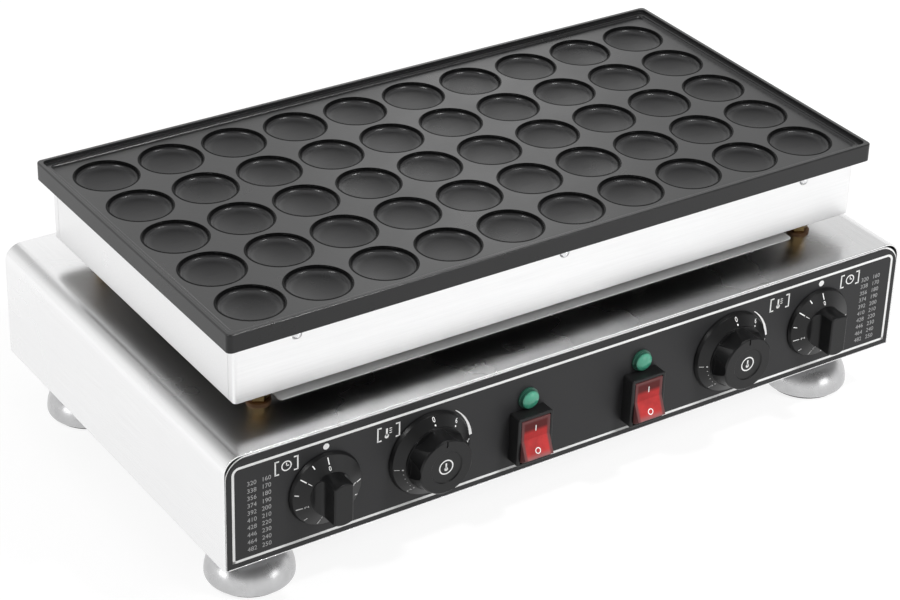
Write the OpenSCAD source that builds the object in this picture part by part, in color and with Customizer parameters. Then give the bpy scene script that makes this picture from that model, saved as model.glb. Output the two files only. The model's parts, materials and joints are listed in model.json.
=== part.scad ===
// Electric mini pancake maker: a cast baking plate with shallow round wells on a heater box,
// carried by four studs above a folded steel base that holds the controls.
// Millimetres, +Z up, origin on the table under the middle of the base, front towards -Y.

/* [Baking plate] */
// Number of wells along the front
well_columns = 10; // [9:1:12]
// Number of wells from front to back
well_rows = 5; // [5:1:6]
// Distance between the centres of neighbouring wells
well_pitch = 53; // [52:0.5:58]
// Diameter of a well at its wall
well_d = 46; // [40:0.5:47]
// Depth of a well at its centre
well_depth = 5.75; // [5.5:0.25:6.5]
// Radius of the hollow between a well's wall and its floor
well_corner_r = 3; // [2:0.25:3.25]
// Radius of the ball that shapes a well's floor
well_floor_r = 170; // [150:5:400]
// Radius of the rounded mouth of a well
well_mouth_r = 1; // [0.4:0.1:1.2]
// Width of the plain border outside the grid of wells
plate_margin = 12; // [11:0.5:16]
// Thickness of the plate under the cooking surface
plate_t = 9.5; // [8.5:0.5:14]
// Radius of the plate's upright corners
plate_corner_r = 4; // [3:0.5:6]
// Height of the rim above the cooking surface
rim_h = 4.5; // [3.5:0.25:8]
// Width of the rim's flat top
rim_w = 3.3; // [2.5:0.1:5]
// Radius along the rim's outer top edge
rim_edge_r = 1; // [0.5:0.1:1.5]
// Height of the ledge inside the rim
ledge_h = 2; // [1:0.1:3]
// Width of the ledge inside the rim
ledge_w = 4; // [2:0.1:4.5]
// Radius of the hollow at the foot of the ledge
ledge_hollow_r = 2; // [1:0.1:3]
// Radius of the inner corners of the tray
tray_corner_r = 5; // [4:0.5:8]

/* [Heater box] */
// Height of the box below the plate
skirt_h = 46.4; // [46:0.2:60]
// How far the box stands in from the plate's edge
skirt_inset = 8.5; // [6:0.5:10]
// Thickness of the box's sheet steel
skirt_t = 1; // [0.8:0.1:1.5]
// Radius of the box's upright bends
skirt_bend_r = 3; // [2:0.5:5]
// Distance from a corner to the seam on the box's side
seam_inset = 8; // [6:0.5:12]
// Width of the open seam between two sheets
seam_gap = 0.4; // [0.2:0.1:0.8]
// Height of the pan's floor above the box's lower edge
pan_lift = 2; // [1:0.5:4]
// Height of the pan's turned up edge
pan_edge_h = 12; // [8:1:16]
// Thickness of the insulating board on the pan
board_t = 20; // [15:1:22]
// Gap around the insulating board
board_gap = 4; // [2:0.5:8]
// Distance from the middle to the outer screws of the box
screw_spread = 220; // [200:1:225]
// Drop from the plate's underside to the box's screws
screw_drop = 5.7; // [5:0.1:7]
// Diameter of the box's screw heads
screw_head_d = 8.5; // [7:0.1:9]
// Diameter of the box's screw shanks
screw_d = 4; // [3:0.1:5]
// Width of a cast lug that takes a box screw
lug_w = 18; // [14:1:24]
// Depth of a cast lug from front to back
lug_depth = 10; // [8:1:14]
// Height of a cast lug
lug_h = 13; // [12:0.5:16]

/* [Heating elements] */
// Diameter of the element's tube
element_d = 9; // [7:0.5:10]
// Number of straight runs in one element
element_runs = 4; // [4:2:6]
// Distance between the runs of one element
element_pitch = 58; // [40:1:60]
// Half length of a straight run
element_half_run = 80; // [60:1:85]
// Length of the bare terminal pins
terminal_len = 12; // [8:1:15]
// Diameter of the bare terminal pins
terminal_d = 4; // [3:0.5:5]
// Width of a clamp bar across the element
clamp_w = 18; // [14:1:24]
// Thickness of a clamp bar
clamp_t = 3; // [2:0.5:4]
// Distance of the clamp bars from the middle, front and back
clamp_y = 50; // [40:1:60]
// Diameter of the clamp studs
clamp_stud_d = 6; // [5:0.5:6]
// Diameter of the cast bosses that take the clamp studs
boss_d = 13; // [12:0.5:16]
// Height of the cast bosses
boss_h = 5; // [4:0.5:6]

/* [Supports] */
// Height of the air gap between the base and the heater box
air_gap = 17.4; // [16:0.2:30]
// Distance of the supports from the box's ends
stud_inset_x = 30.5; // [28:0.5:40]
// Distance of the supports from the box's front and back
stud_inset_y = 21.5; // [20:0.5:30]
// Diameter of the support studs
stud_d = 8; // [6:0.5:8]
// Width of the support nuts across their flats
nut_af = 13; // [12:0.5:14]
// Height of the support nuts
nut_h = 6.5; // [5:0.25:6.75]
// Diameter of the support washers
washer_d = 18; // [16:0.5:20]
// Thickness of the support washers
washer_t = 1.6; // [1:0.1:2]
// Height of the heat shield's folded edge
shield_h = 7; // [4:0.5:8]
// Gap between a support's axis and the end of the heat shield
shield_end_gap = 10; // [9:0.5:14]
// Distance of the heat shield from the box's front and back
shield_inset_y = 24; // [20:0.5:30]
// Outer diameter of the sleeve that leads the wires up
sleeve_d = 26; // [20:1:30]
// Wall of the sleeve
sleeve_wall = 2; // [1:0.25:3]

/* [Base] */
// Overhang of the base past the plate at each end
base_overhang_x = 18.5; // [14:0.5:30]
// Overhang of the base past the plate at front and back
base_overhang_y = 23.5; // [20:0.5:35]
// Height of the base without its feet
base_h = 91; // [88:0.5:110]
// Thickness of the base's sheet steel
sheet_t = 1.2; // [1:0.1:1.5]
// Outer radius of the bends along the top of the base
bend_r = 13; // [10:0.5:16]
// Gap between the panels and the cover around them
panel_gap = 0.3; // [0.2:0.1:0.5]
// Radius of the upper corners of the front and rear panels
panel_corner_r = 16; // [13:0.5:20]
// Width of the folded flanges inside the base
flange_w = 15; // [12:0.5:20]
// Number of vent slots in each half of the floor
vent_count = 8; // [4:1:10]
// Distance between vent slots
vent_pitch = 14; // [12:0.5:16]
// Length of a vent slot
vent_len = 60; // [40:1:70]
// Width of a vent slot
vent_w = 4; // [3:0.5:6]
// Diameter of the floor screws' heads
floor_screw_head_d = 7; // [6:0.1:8]
// Diameter of the floor screws' shanks
floor_screw_d = 3.5; // [3:0.1:4]
// Height of the cord inlet above the floor
inlet_h = 30; // [25:1:45]
// Distance of the cord inlet from the middle
inlet_x = 200; // [150:1:220]
// Thread diameter of the cord inlet
inlet_d = 20; // [16:0.5:22]
// How far the cord inlet stands off the back
inlet_reach = 26.8; // [20:0.2:32]
// Bore of the cord inlet
inlet_bore_d = 10; // [8:0.5:11]

/* [Feet] */
// Height of a foot with its pad
foot_h = 44; // [42:0.5:60]
// Largest diameter of a foot
foot_d = 65; // [60:0.5:72]
// Radius of a foot's domed flank
foot_dome_r = 28; // [26:0.5:30]
// Diameter of a foot's neck
foot_neck_d = 36; // [32:0.5:40]
// Radius of a foot's lower edge
foot_edge_r = 3.5; // [2:0.25:4]
// Distance of a foot's axis from the base's ends
foot_inset_x = 43.5; // [38:0.5:50]
// Distance of a foot's axis from the base's front and back
foot_inset_y = 43.5; // [38:0.5:50]
// Diameter of the rubber pads
pad_d = 56; // [50:0.5:56]
// Thickness of the rubber pads
pad_t = 3; // [2.5:0.1:4]
// How far a pad sits inside its foot
pad_seat = 1; // [0.5:0.1:1.5]
// Thread diameter of the foot bolts
foot_bolt_d = 10; // [8:0.5:10]
// Depth of the foot bolts in the feet
foot_bolt_depth = 22; // [16:1:25]

/* [Control panel] */
// Gap between the black fascia and the base's sides
fascia_side = 2.2; // [1.2:0.1:3]
// Gap between the black fascia and the base's lower edge
fascia_low = 0.6; // [0.5:0.1:4]
// Gap between the black fascia and the base's top
fascia_high = 3; // [2:0.1:5]
// Thickness of the fascia
fascia_t = 0.8; // [0.5:0.1:1.2]
// Height of the knobs' axes above the base's lower edge
knob_h = 43.5; // [42:0.5:46]
// Distance of the timers from the middle
timer_x = 217.5; // [214:0.5:225]
// Distance of the thermostats from the middle
thermostat_x = 133; // [125:0.5:140]
// Distance of the lamps and switches from the middle
switch_x = 50; // [40:0.5:55]
// Height of the lamps above the base's lower edge
lamp_h = 61.5; // [61.5:0.5:66]
// Height of the switches above the base's lower edge
switch_h = 33; // [30:0.5:33.5]

/* [Knobs] */
// Gap between the fascia and the back of a knob
knob_gap = 0.8; // [0.5:0.1:1.5]
// Diameter of the knob shafts
shaft_d = 6; // [5:0.5:6]
// Running clearance around the shafts
shaft_fit = 0.05; // [0.02:0.01:0.09]
// Clearance between a shaft and its knob
knob_fit = 0.05; // [0.02:0.01:0.1]
// Diameter of a timer knob's skirt
timer_skirt_d = 57; // [54:0.5:62]
// Diameter of a timer knob's grip
timer_grip_d = 33; // [30:0.5:36]
// Height of a timer knob above the fascia
timer_knob_h = 26; // [24:0.5:30]
// Width of the bar of a timer knob at its front
timer_bar_w = 15; // [12:0.5:18]
// Radius of the hollow at the foot of the bar
timer_foot_r = 6; // [4:0.25:7]
// Radius along the front edges of the bar
timer_edge_r = 1.2; // [0.5:0.1:2]
// Diameter of a thermostat knob's skirt
thermostat_skirt_d = 66; // [62:0.5:70]
// Diameter of a thermostat knob's grip at its foot
thermostat_grip_d = 49; // [46:0.5:52]
// Diameter of a thermostat knob's grip at its front
thermostat_front_d = 43; // [40:0.5:45]
// Height of a thermostat knob above the fascia
thermostat_knob_h = 23; // [21:0.5:27]
// Number of flutes around a thermostat knob
flute_count = 6; // [5:1:8]
// Radius of a flute
flute_r = 22; // [16:0.5:26]
// Depth of a flute at the grip's foot
flute_depth = 3.6; // [3:0.1:4]
// Diameter of the dish in a thermostat knob's front
dish_d = 26; // [20:0.5:30]
// Height of the upright edge of a skirt
skirt_edge_h = 2.7; // [2:0.1:3.5]
// Height of the sloping face of a skirt
skirt_cone_h = 5; // [4:0.25:6]
// Inward slope of a skirt's upright edge
skirt_draft = 1.2; // [0.5:0.1:2]

/* [Lamps] */
// Diameter of a lamp's lens
lens_d = 14; // [12:0.25:14.5]
// Diameter of a lamp's flange
lens_flange_d = 16.5; // [15:0.25:17]
// Height of a lamp's lens above the fascia
lens_h = 6; // [5:0.25:8]
// Diameter of a lamp's holder behind the panel
lamp_holder_d = 12; // [10:0.25:13]
// Length of a lamp's holder behind the panel
lamp_holder_len = 28; // [20:1:35]

/* [Switches] */
// Width of a switch's frame
frame_w = 30; // [29:0.25:32]
// Height of a switch's frame
frame_h = 40; // [39.5:0.25:41]
// How far a switch's frame stands off the fascia
frame_d = 11.5; // [10:0.25:13]
// Radius of the frame's upright corners
frame_corner_r = 2; // [1.5:0.25:3]
// Radius along the frame's front edge
frame_edge_r = 1; // [0.5:0.1:1.2]
// Width of the frame's lip on the fascia
frame_lip = 1; // [0.8:0.1:1.2]
// Width of a rocker
rocker_w = 24.4; // [23:0.1:24.8]
// Distance from a rocker's pivot to its ends
rocker_r = 17.6; // [17:0.1:17.8]
// Gap between a rocker and its frame
rocker_gap = 0.4; // [0.3:0.05:0.6]
// Depth of the pivot below the frame's front
pivot_depth = 6; // [5:0.25:7]
// Height of a rocker's crease above its pivot
rocker_crease_h = 6.2; // [5.5:0.1:7]
// Tilt of a rocker to either side of its middle
rocker_tilt = 12; // [8:0.5:13]
// Diameter of a rocker's pivot pins
pivot_d = 4; // [3:0.25:5]
// Running clearance around the pivot pins
pivot_fit = 0.06; // [0.02:0.01:0.09]
// Depth of a switch's body behind the panel
switch_body_depth = 24; // [20:1:30]

/* [Inside the base] */
// Width of a timer's case
timer_case_w = 46; // [40:1:50]
// Height of a timer's case
timer_case_h = 46; // [40:1:50]
// Depth of a timer's case
timer_case_depth = 38; // [30:1:45]
// Width of a thermostat's case
thermostat_case_w = 44; // [42:1:50]
// Height of a thermostat's case
thermostat_case_h = 34; // [30:1:40]
// Depth of a thermostat's case
thermostat_case_depth = 36; // [30:1:42]
// Diameter of the threaded neck of a timer or thermostat
neck_d = 10; // [9:0.5:11]
// Depth of a shaft inside its case
shaft_depth = 20; // [15:1:25]
// Diameter of the thermostats' capillary tubes
capillary_d = 2.4; // [2:0.1:3]
// Radius of a capillary tube's bends
capillary_bend_r = 8; // [6:0.5:10]
// Offset of a capillary tube from its thermostat's axis
capillary_offset = 15; // [14:0.5:15.5]
// Distance of a capillary riser behind the box's front
capillary_inset_y = 32; // [30:0.5:33]
// Diameter of a sensing bulb
bulb_d = 6; // [5:0.25:6.5]
// Length of a sensing bulb
bulb_len = 70; // [50:1:80]
// Length of the terminal block
block_l = 70; // [60:1:90]
// Width of the terminal block
block_w = 24; // [20:1:30]
// Height of the terminal block
block_h = 20; // [16:1:25]
// Number of poles of the terminal block
block_poles = 5; // [4:1:6]
// Diameter of the sheathed leads
lead_d = 6; // [4:0.5:7]
// Diameter of the loom's trunk
trunk_d = 9; // [8:0.5:10]
// Distance of the loom's trunk behind the panel
trunk_y = 55; // [50:1:60]
// Height of the loom's trunk above the base's lower edge
trunk_h = 32; // [30:0.5:38]

/* [Hidden] */
$fn = 64;

// Clearance of a screw or stud in its hole
hole_fit = 0.2;
// Small overlap that keeps cuts clean
cut = 1;
// Gap between parts that only lie against each other
seat = 0.05;

plate_l = well_columns * well_pitch + 2 * plate_margin;
plate_w = well_rows * well_pitch + 2 * plate_margin;
tray_inset = rim_w + ledge_w;
skirt_l = plate_l - 2 * skirt_inset;
skirt_w = plate_w - 2 * skirt_inset;
base_l = plate_l + 2 * base_overhang_x;
base_w = plate_w + 2 * base_overhang_y;
stud_x = skirt_l / 2 - stud_inset_x;
stud_y = skirt_w / 2 - stud_inset_y;
foot_x = base_l / 2 - foot_inset_x;
foot_y = base_w / 2 - foot_inset_y;

floor_z = foot_h;
base_top_z = floor_z + base_h;
skirt_z = base_top_z + air_gap;
plate_z = skirt_z + skirt_h;
cook_z = plate_z + plate_t;
pan_z = skirt_z + pan_lift;
board_z = pan_z + skirt_t;
fascia_y = -base_w / 2 - fascia_t;
panel_stack = fascia_t + sheet_t;

zone_x = plate_l / 4;
element_z = plate_z - element_d / 2 - seat;
clamp_z = plate_z - element_d - 2 * seat - clamp_t;
clamp_len = element_pitch * (element_runs - 1) + 2 * element_d + clamp_w;
clamp_nut_h = 5;
clamp_nut_af = 10;
board_hole_d = nut_af / cos(30) + 2 * board_gap;
riser_x = zone_x - 0.75 * element_pitch;
riser_y = -skirt_w / 2 + capillary_inset_y;
riser_hole_d = capillary_d + 4;
bulb_z = plate_z - bulb_d / 2 - seat;
screw_head_h = screw_head_d * 0.3;

frame_window_w = rocker_w + 2 * rocker_gap;
frame_window_h = 2 * (rocker_r + rocker_gap);
switch_body_w = frame_w - 2 * frame_lip;
switch_body_h = frame_h - 2 * frame_lip;
pivot_z = frame_d - pivot_depth;
pin_len = (frame_w - rocker_w) / 2 - 1;

// Flat shapes

module rounded_rect(w, h, r) {
    square([w - 2 * r, h], center = true);
    square([w, h - 2 * r], center = true);
    for (x = [-1, 1], y = [-1, 1])
        translate([x * (w / 2 - r), y * (h / 2 - r)])
            circle(r);
}

// A sheet outline that stands on y = 0 and has round upper corners
module arched_rect(w, h, r) {
    translate([-w / 2, 0])
        square([w, h - r]);
    translate([-w / 2 + r, 0])
        square([w - 2 * r, h]);
    for (x = [-1, 1])
        translate([x * (w / 2 - r), h - r])
            circle(r);
}

// Quarter of a square that a round edge leaves, with its corner at the origin
module edge_sliver(r) {
    difference() {
        square(r);
        translate([r, r])
            circle(r);
    }
}

// Solid shapes

module slab(l, w, h, r) {
    linear_extrude(h)
        rounded_rect(l, w, r);
}

// Sweeps a flat profile round a rounded rectangle; the profile's x runs outwards, y runs up
module sweep_round(l, w, r) {
    for (a = [0 : 90 : 270]) {
        along = a % 180 == 0 ? l : w;
        across = a % 180 == 0 ? w : l;
        rotate(a)
            translate([0, across / 2, 0])
                rotate([90, 0, 90])
                    linear_extrude(along - 2 * r, center = true)
                        children();
        rotate(a)
            translate([along / 2 - r, across / 2 - r, 0])
                rotate_extrude(angle = 90)
                    translate([r, 0])
                        children();
    }
}

module tube(outer_d, inner_d, h) {
    difference() {
        cylinder(d = outer_d, h = h);
        translate([0, 0, -cut])
            cylinder(d = inner_d, h = h + 2 * cut);
    }
}

module hex_nut(af, bore_d, h) {
    difference() {
        rotate(30)
            cylinder(d = af / cos(30), h = h, $fn = 6);
        translate([0, 0, -cut])
            cylinder(d = bore_d, h = h + 2 * cut);
    }
}

// A low domed screw head on the plane z = 0 with its shank below
module domed_screw(head_d, head_h, shank_d, shank_len) {
    ball_r = (head_d * head_d / 4 + head_h * head_h) / (2 * head_h);
    intersection() {
        translate([0, 0, head_h - ball_r])
            sphere(ball_r);
        cylinder(d = head_d, h = head_h + cut);
    }
    translate([0, 0, -shank_len])
        cylinder(d = shank_d, h = shank_len);
}

// Places for repeated parts

module at_supports() {
    for (x = [-1, 1], y = [-1, 1])
        translate([x * stud_x, y * stud_y, 0])
            children();
}

module at_feet() {
    for (x = [-1, 1], y = [-1, 1])
        translate([x * foot_x, y * foot_y, 0])
            children();
}

module at_risers() {
    for (x = [-1, 1])
        translate([x * riser_x, riser_y, 0])
            children();
}

module at_clamp_studs() {
    for (zone = [-1, 1], y = [-1, 1], gap = [0 : element_runs - 2])
        translate([zone * zone_x + (gap - (element_runs - 2) / 2) * element_pitch, y * clamp_y, 0])
            children();
}

module at_box_screws() {
    for (turn = [0, 180], x = [-screw_spread, 0, screw_spread])
        rotate(turn)
            translate([x, -skirt_w / 2, plate_z - screw_drop])
                rotate([90, 0, 0])
                    children();
}

module at_floor_screws() {
    for (x = [-1, 1], y = [-0.75, -0.25, 0.25, 0.75])
        translate([x * (base_l / 2 - sheet_t - flange_w / 2), y * base_w / 2, floor_z])
            children();
}

// Local +Z leaves the fascia towards the user, local +Y is up
module on_panel(x, h) {
    translate([x, fascia_y, floor_z + h])
        rotate([90, 0, 0])
            children();
}

// Baking plate

// The space inside one well, with its mouth on z = 0
module well_space() {
    wall_r = well_d / 2;
    hollow_x = wall_r - well_corner_r;
    hollow_y = well_floor_r - well_depth
        - sqrt(pow(well_floor_r - well_corner_r, 2) - hollow_x * hollow_x);
    reach = well_floor_r / (well_floor_r - well_corner_r);
    touch_x = hollow_x * reach;
    touch_y = well_floor_r - well_depth + (hollow_y - well_floor_r + well_depth) * reach;
    rotate_extrude() {
        translate([0, hollow_y])
            square([wall_r, rim_h - hollow_y]);
        intersection() {
            translate([hollow_x, hollow_y])
                circle(well_corner_r);
            translate([hollow_x, hollow_y - well_corner_r])
                square([well_corner_r, well_corner_r]);
        }
        polygon([[0, hollow_y], [0, touch_y], [touch_x, touch_y], [hollow_x, hollow_y]]);
        intersection() {
            translate([0, well_floor_r - well_depth])
                circle(well_floor_r, $fn = 360);
            translate([0, -well_depth])
                square([touch_x, well_depth + touch_y]);
        }
        translate([wall_r + well_mouth_r, 0])
            mirror([0, 1])
                mirror([1, 0])
                    difference() {
                        square([well_mouth_r, well_mouth_r]);
                        translate([0, well_mouth_r])
                            circle(well_mouth_r);
                    }
    }
}

module baking_plate() {
    color([0.16, 0.16, 0.17]) {
        difference() {
            union() {
                translate([0, 0, plate_z])
                    slab(plate_l, plate_w, plate_t + rim_h, plate_corner_r);
                at_box_screws()
                    translate([-lug_w / 2, screw_drop - lug_h, -skirt_t - lug_depth])
                        cube([lug_w, lug_h + cut, lug_depth]);
                at_clamp_studs()
                    translate([0, 0, plate_z - boss_h])
                        cylinder(d = boss_d, h = boss_h + cut);
            }
            translate([0, 0, cook_z + ledge_h])
                slab(plate_l - 2 * rim_w, plate_w - 2 * rim_w, rim_h, plate_corner_r);
            translate([0, 0, cook_z])
                slab(plate_l - 2 * tray_inset, plate_w - 2 * tray_inset, rim_h, tray_corner_r);
            for (col = [0 : well_columns - 1], row = [0 : well_rows - 1])
                translate([
                    (col - (well_columns - 1) / 2) * well_pitch,
                    (row - (well_rows - 1) / 2) * well_pitch,
                    cook_z
                ])
                    well_space();
            translate([0, 0, cook_z + rim_h])
                sweep_round(plate_l, plate_w, plate_corner_r)
                    rotate(180)
                        edge_sliver(rim_edge_r);
            at_box_screws()
                translate([0, 0, -skirt_t - lug_depth + cut])
                    cylinder(d = screw_d + hole_fit, h = lug_depth + cut);
            at_clamp_studs()
                translate([0, 0, plate_z - boss_h - cut])
                    cylinder(d = clamp_stud_d + hole_fit, h = boss_h + 2 * cut);
        }
        translate([0, 0, cook_z])
            sweep_round(plate_l - 2 * tray_inset, plate_w - 2 * tray_inset, tray_corner_r)
                mirror([1, 0])
                    edge_sliver(ledge_hollow_r);
    }
}

// Heater box

module skirt_outline() {
    difference() {
        rounded_rect(skirt_l, skirt_w, skirt_bend_r);
        rounded_rect(skirt_l - 2 * skirt_t, skirt_w - 2 * skirt_t, skirt_bend_r - skirt_t);
    }
}

// Front or back sheet: it wraps round both corners and ends in the side seams
module skirt_long(side) {
    color([0.9, 0.9, 0.91])
        difference() {
            translate([0, 0, skirt_z])
                linear_extrude(skirt_h)
                    intersection() {
                        skirt_outline();
                        translate([-skirt_l / 2, side > 0 ? skirt_w / 2 - seam_inset : -skirt_w / 2])
                            square([skirt_l, seam_inset]);
                    }
            at_box_screws()
                translate([0, 0, -skirt_t - cut])
                    cylinder(d = screw_d + hole_fit, h = skirt_t + 2 * cut);
        }
}

module skirt_short(side) {
    color([0.9, 0.9, 0.91])
        translate([side * (skirt_l - skirt_t) / 2, 0, skirt_z + skirt_h / 2])
            cube([skirt_t, skirt_w - 2 * (seam_inset + seam_gap), skirt_h], center = true);
}

module skirt_front() {
    skirt_long(-1);
}

module skirt_back() {
    skirt_long(1);
}

module skirt_left() {
    skirt_short(-1);
}

module skirt_right() {
    skirt_short(1);
}

module skirt_screws() {
    color([0.75, 0.75, 0.77])
        at_box_screws()
            domed_screw(screw_head_d, screw_head_h, screw_d, skirt_t + lug_depth - cut);
}

// Pan that closes the box from below, with its edges turned up against the skirt
module heater_pan() {
    pan_l = skirt_l - 2 * (skirt_t + seat);
    pan_w = skirt_w - 2 * (skirt_t + seat);
    bend_r = skirt_bend_r - skirt_t;
    color([0.8, 0.8, 0.82])
        difference() {
            translate([0, 0, pan_z])
                slab(pan_l, pan_w, pan_edge_h, bend_r);
            translate([0, 0, pan_z + skirt_t])
                slab(pan_l - 2 * skirt_t, pan_w - 2 * skirt_t, pan_edge_h, bend_r - skirt_t / 2);
            translate([0, 0, pan_z - cut]) {
                at_supports()
                    cylinder(d = stud_d + hole_fit, h = skirt_t + 2 * cut);
                at_risers()
                    cylinder(d = riser_hole_d, h = skirt_t + 2 * cut);
                cylinder(d = sleeve_d + hole_fit, h = skirt_t + 2 * cut);
            }
        }
}

module insulating_board() {
    color([0.93, 0.91, 0.85])
        difference() {
            translate([0, 0, board_z + board_t / 2])
                cube([
                    skirt_l - 2 * (2 * skirt_t + board_gap),
                    skirt_w - 2 * (2 * skirt_t + board_gap),
                    board_t
                ], center = true);
            translate([0, 0, board_z - cut]) {
                at_supports()
                    cylinder(d = board_hole_d, h = board_t + 2 * cut);
                at_risers()
                    cylinder(d = riser_hole_d, h = board_t + 2 * cut);
                cylinder(d = sleeve_d + 2 * board_gap, h = board_t + 2 * cut);
            }
        }
}

// Heating elements

function run_x(i) = (i - (element_runs - 1) / 2) * element_pitch;

// A tube that goes to and fro under one half of the plate
module heating_element(side) {
    color([0.42, 0.4, 0.38])
        translate([side * zone_x, 0, element_z]) {
            for (i = [0 : element_runs - 1])
                translate([run_x(i), 0, 0])
                    rotate([90, 0, 0])
                        cylinder(d = element_d, h = 2 * element_half_run, center = true);
            for (i = [0 : element_runs - 2])
                translate([run_x(i) + element_pitch / 2, (i % 2 == 0 ? 1 : -1) * element_half_run, 0])
                    rotate(i % 2 == 0 ? 0 : 180)
                        rotate_extrude(angle = 180)
                            translate([element_pitch / 2, 0])
                                circle(d = element_d);
            for (i = [0, element_runs - 1])
                translate([run_x(i), -element_half_run, 0])
                    rotate([90, 0, 0])
                        cylinder(d = terminal_d, h = terminal_len);
        }
}

module heating_element_left() {
    heating_element(-1);
}

module heating_element_right() {
    heating_element(1);
}

module element_clamps() {
    color([0.7, 0.7, 0.72])
        difference() {
            for (zone = [-1, 1], y = [-1, 1])
                translate([zone * zone_x - clamp_len / 2, y * clamp_y - clamp_w / 2, clamp_z])
                    cube([clamp_len, clamp_w, clamp_t]);
            at_clamp_studs()
                translate([0, 0, clamp_z - cut])
                    cylinder(d = clamp_stud_d + hole_fit, h = clamp_t + 2 * cut);
        }
}

module clamp_studs() {
    tip_z = clamp_z - clamp_nut_h - cut;
    color([0.75, 0.75, 0.77])
        at_clamp_studs()
            translate([0, 0, tip_z])
                cylinder(d = clamp_stud_d, h = plate_z - tip_z);
}

module clamp_nuts() {
    color([0.75, 0.75, 0.77])
        at_clamp_studs()
            translate([0, 0, clamp_z - clamp_nut_h])
                hex_nut(clamp_nut_af, clamp_stud_d + 2 * seat, clamp_nut_h);
}

// Supports between the base and the heater box

module support_studs() {
    foot_z = base_top_z - sheet_t - nut_h - cut;
    color([0.78, 0.6, 0.28])
        at_supports()
            translate([0, 0, foot_z])
                cylinder(d = stud_d, h = pan_z + skirt_t + nut_h + cut - foot_z);
}

module support_nuts() {
    color([0.8, 0.62, 0.28])
        at_supports()
            for (z = [
                base_top_z - sheet_t - nut_h,
                base_top_z + washer_t,
                pan_z - nut_h,
                pan_z + skirt_t
            ])
                translate([0, 0, z])
                    hex_nut(nut_af, stud_d + 2 * seat, nut_h);
}

module support_washers() {
    color([0.65, 0.35, 0.22])
        at_supports()
            translate([0, 0, base_top_z])
                tube(washer_d, stud_d + 2 * seat, washer_t);
}

// Sheet with folded edges that lies on the base under the heater box
module heat_shield() {
    shield_l = 2 * (stud_x - shield_end_gap);
    shield_w = skirt_w - 2 * shield_inset_y;
    color([0.75, 0.75, 0.77])
        translate([0, 0, base_top_z])
            difference() {
                translate([0, 0, shield_h / 2])
                    cube([shield_l, shield_w, shield_h], center = true);
                translate([0, 0, (shield_h - skirt_t) / 2 - cut])
                    cube([shield_l - 2 * skirt_t, shield_w - 2 * skirt_t, shield_h - skirt_t + 2 * cut],
                        center = true);
                at_risers()
                    cylinder(d = riser_hole_d, h = shield_h + cut);
                cylinder(d = sleeve_d + hole_fit, h = shield_h + cut);
            }
}

// Flanged tube that leads the wires from the base into the heater box
module wiring_sleeve() {
    low_z = base_top_z - 3 * sheet_t;
    high_z = board_z + nut_h;
    color([0.75, 0.75, 0.77]) {
        translate([0, 0, low_z])
            tube(sleeve_d, sleeve_d - 2 * sleeve_wall, high_z - low_z);
        translate([0, 0, base_top_z + shield_h])
            tube(sleeve_d + 2 * board_gap, sleeve_d - sleeve_wall, sheet_t);
    }
}

// Base

module base_cover() {
    inner_l = base_l - 2 * sheet_t;
    color([0.82, 0.82, 0.84])
        difference() {
            union() {
                translate([0, base_w / 2, floor_z])
                    rotate([90, 0, 0])
                        linear_extrude(base_w)
                            difference() {
                                arched_rect(base_l, base_h, bend_r);
                                translate([0, -cut])
                                    arched_rect(inner_l, base_h - sheet_t + cut, bend_r - sheet_t);
                            }
                for (x = [-1, 1])
                    translate([x * (inner_l - flange_w) / 2, 0, floor_z + 1.5 * sheet_t])
                        cube([flange_w + sheet_t, base_w - 4 * flange_w, sheet_t], center = true);
            }
            translate([0, 0, base_top_z - sheet_t - cut]) {
                at_supports()
                    cylinder(d = stud_d + hole_fit, h = sheet_t + 2 * cut);
                at_risers()
                    cylinder(d = riser_hole_d, h = sheet_t + 2 * cut);
                cylinder(d = sleeve_d + hole_fit, h = sheet_t + 2 * cut);
            }
            at_floor_screws()
                cylinder(d = floor_screw_d + hole_fit, h = 3 * sheet_t);
        }
}

module base_floor() {
    color([0.72, 0.72, 0.74])
        difference() {
            translate([0, 0, floor_z + sheet_t / 2])
                cube([
                    base_l - 2 * (sheet_t + panel_gap),
                    base_w - 2 * (sheet_t + panel_gap),
                    sheet_t
                ], center = true);
            translate([0, 0, floor_z - cut]) {
                for (half = [-1, 1], i = [0 : vent_count - 1])
                    translate([half * zone_x + (i - (vent_count - 1) / 2) * vent_pitch, 0, 0])
                        linear_extrude(sheet_t + 2 * cut)
                            rounded_rect(vent_w, vent_len, vent_w / 2 - seat);
                at_feet()
                    cylinder(d = foot_bolt_d + hole_fit, h = sheet_t + 2 * cut);
            }
            at_floor_screws()
                translate([0, 0, -cut])
                    cylinder(d = floor_screw_d + hole_fit, h = sheet_t + 2 * cut);
        }
}

module floor_screws() {
    color([0.7, 0.7, 0.72])
        at_floor_screws()
            mirror([0, 0, 1])
                domed_screw(floor_screw_head_d, floor_screw_d / 2, floor_screw_d, 4 * sheet_t);
}

// Upright sheet that fits inside the ends of the cover, with a flange turned in on the floor
module end_panel(side) {
    panel_l = base_l - 2 * (sheet_t + panel_gap);
    face_y = side * base_w / 2;
    translate([0, side > 0 ? face_y : face_y + sheet_t, floor_z])
        rotate([90, 0, 0])
            linear_extrude(sheet_t)
                arched_rect(panel_l, base_h - sheet_t - panel_gap, panel_corner_r);
    translate([0, side * (base_w / 2 - flange_w / 2), floor_z + 1.5 * sheet_t])
        cube([panel_l - 4 * flange_w, flange_w, sheet_t], center = true);
}

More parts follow.
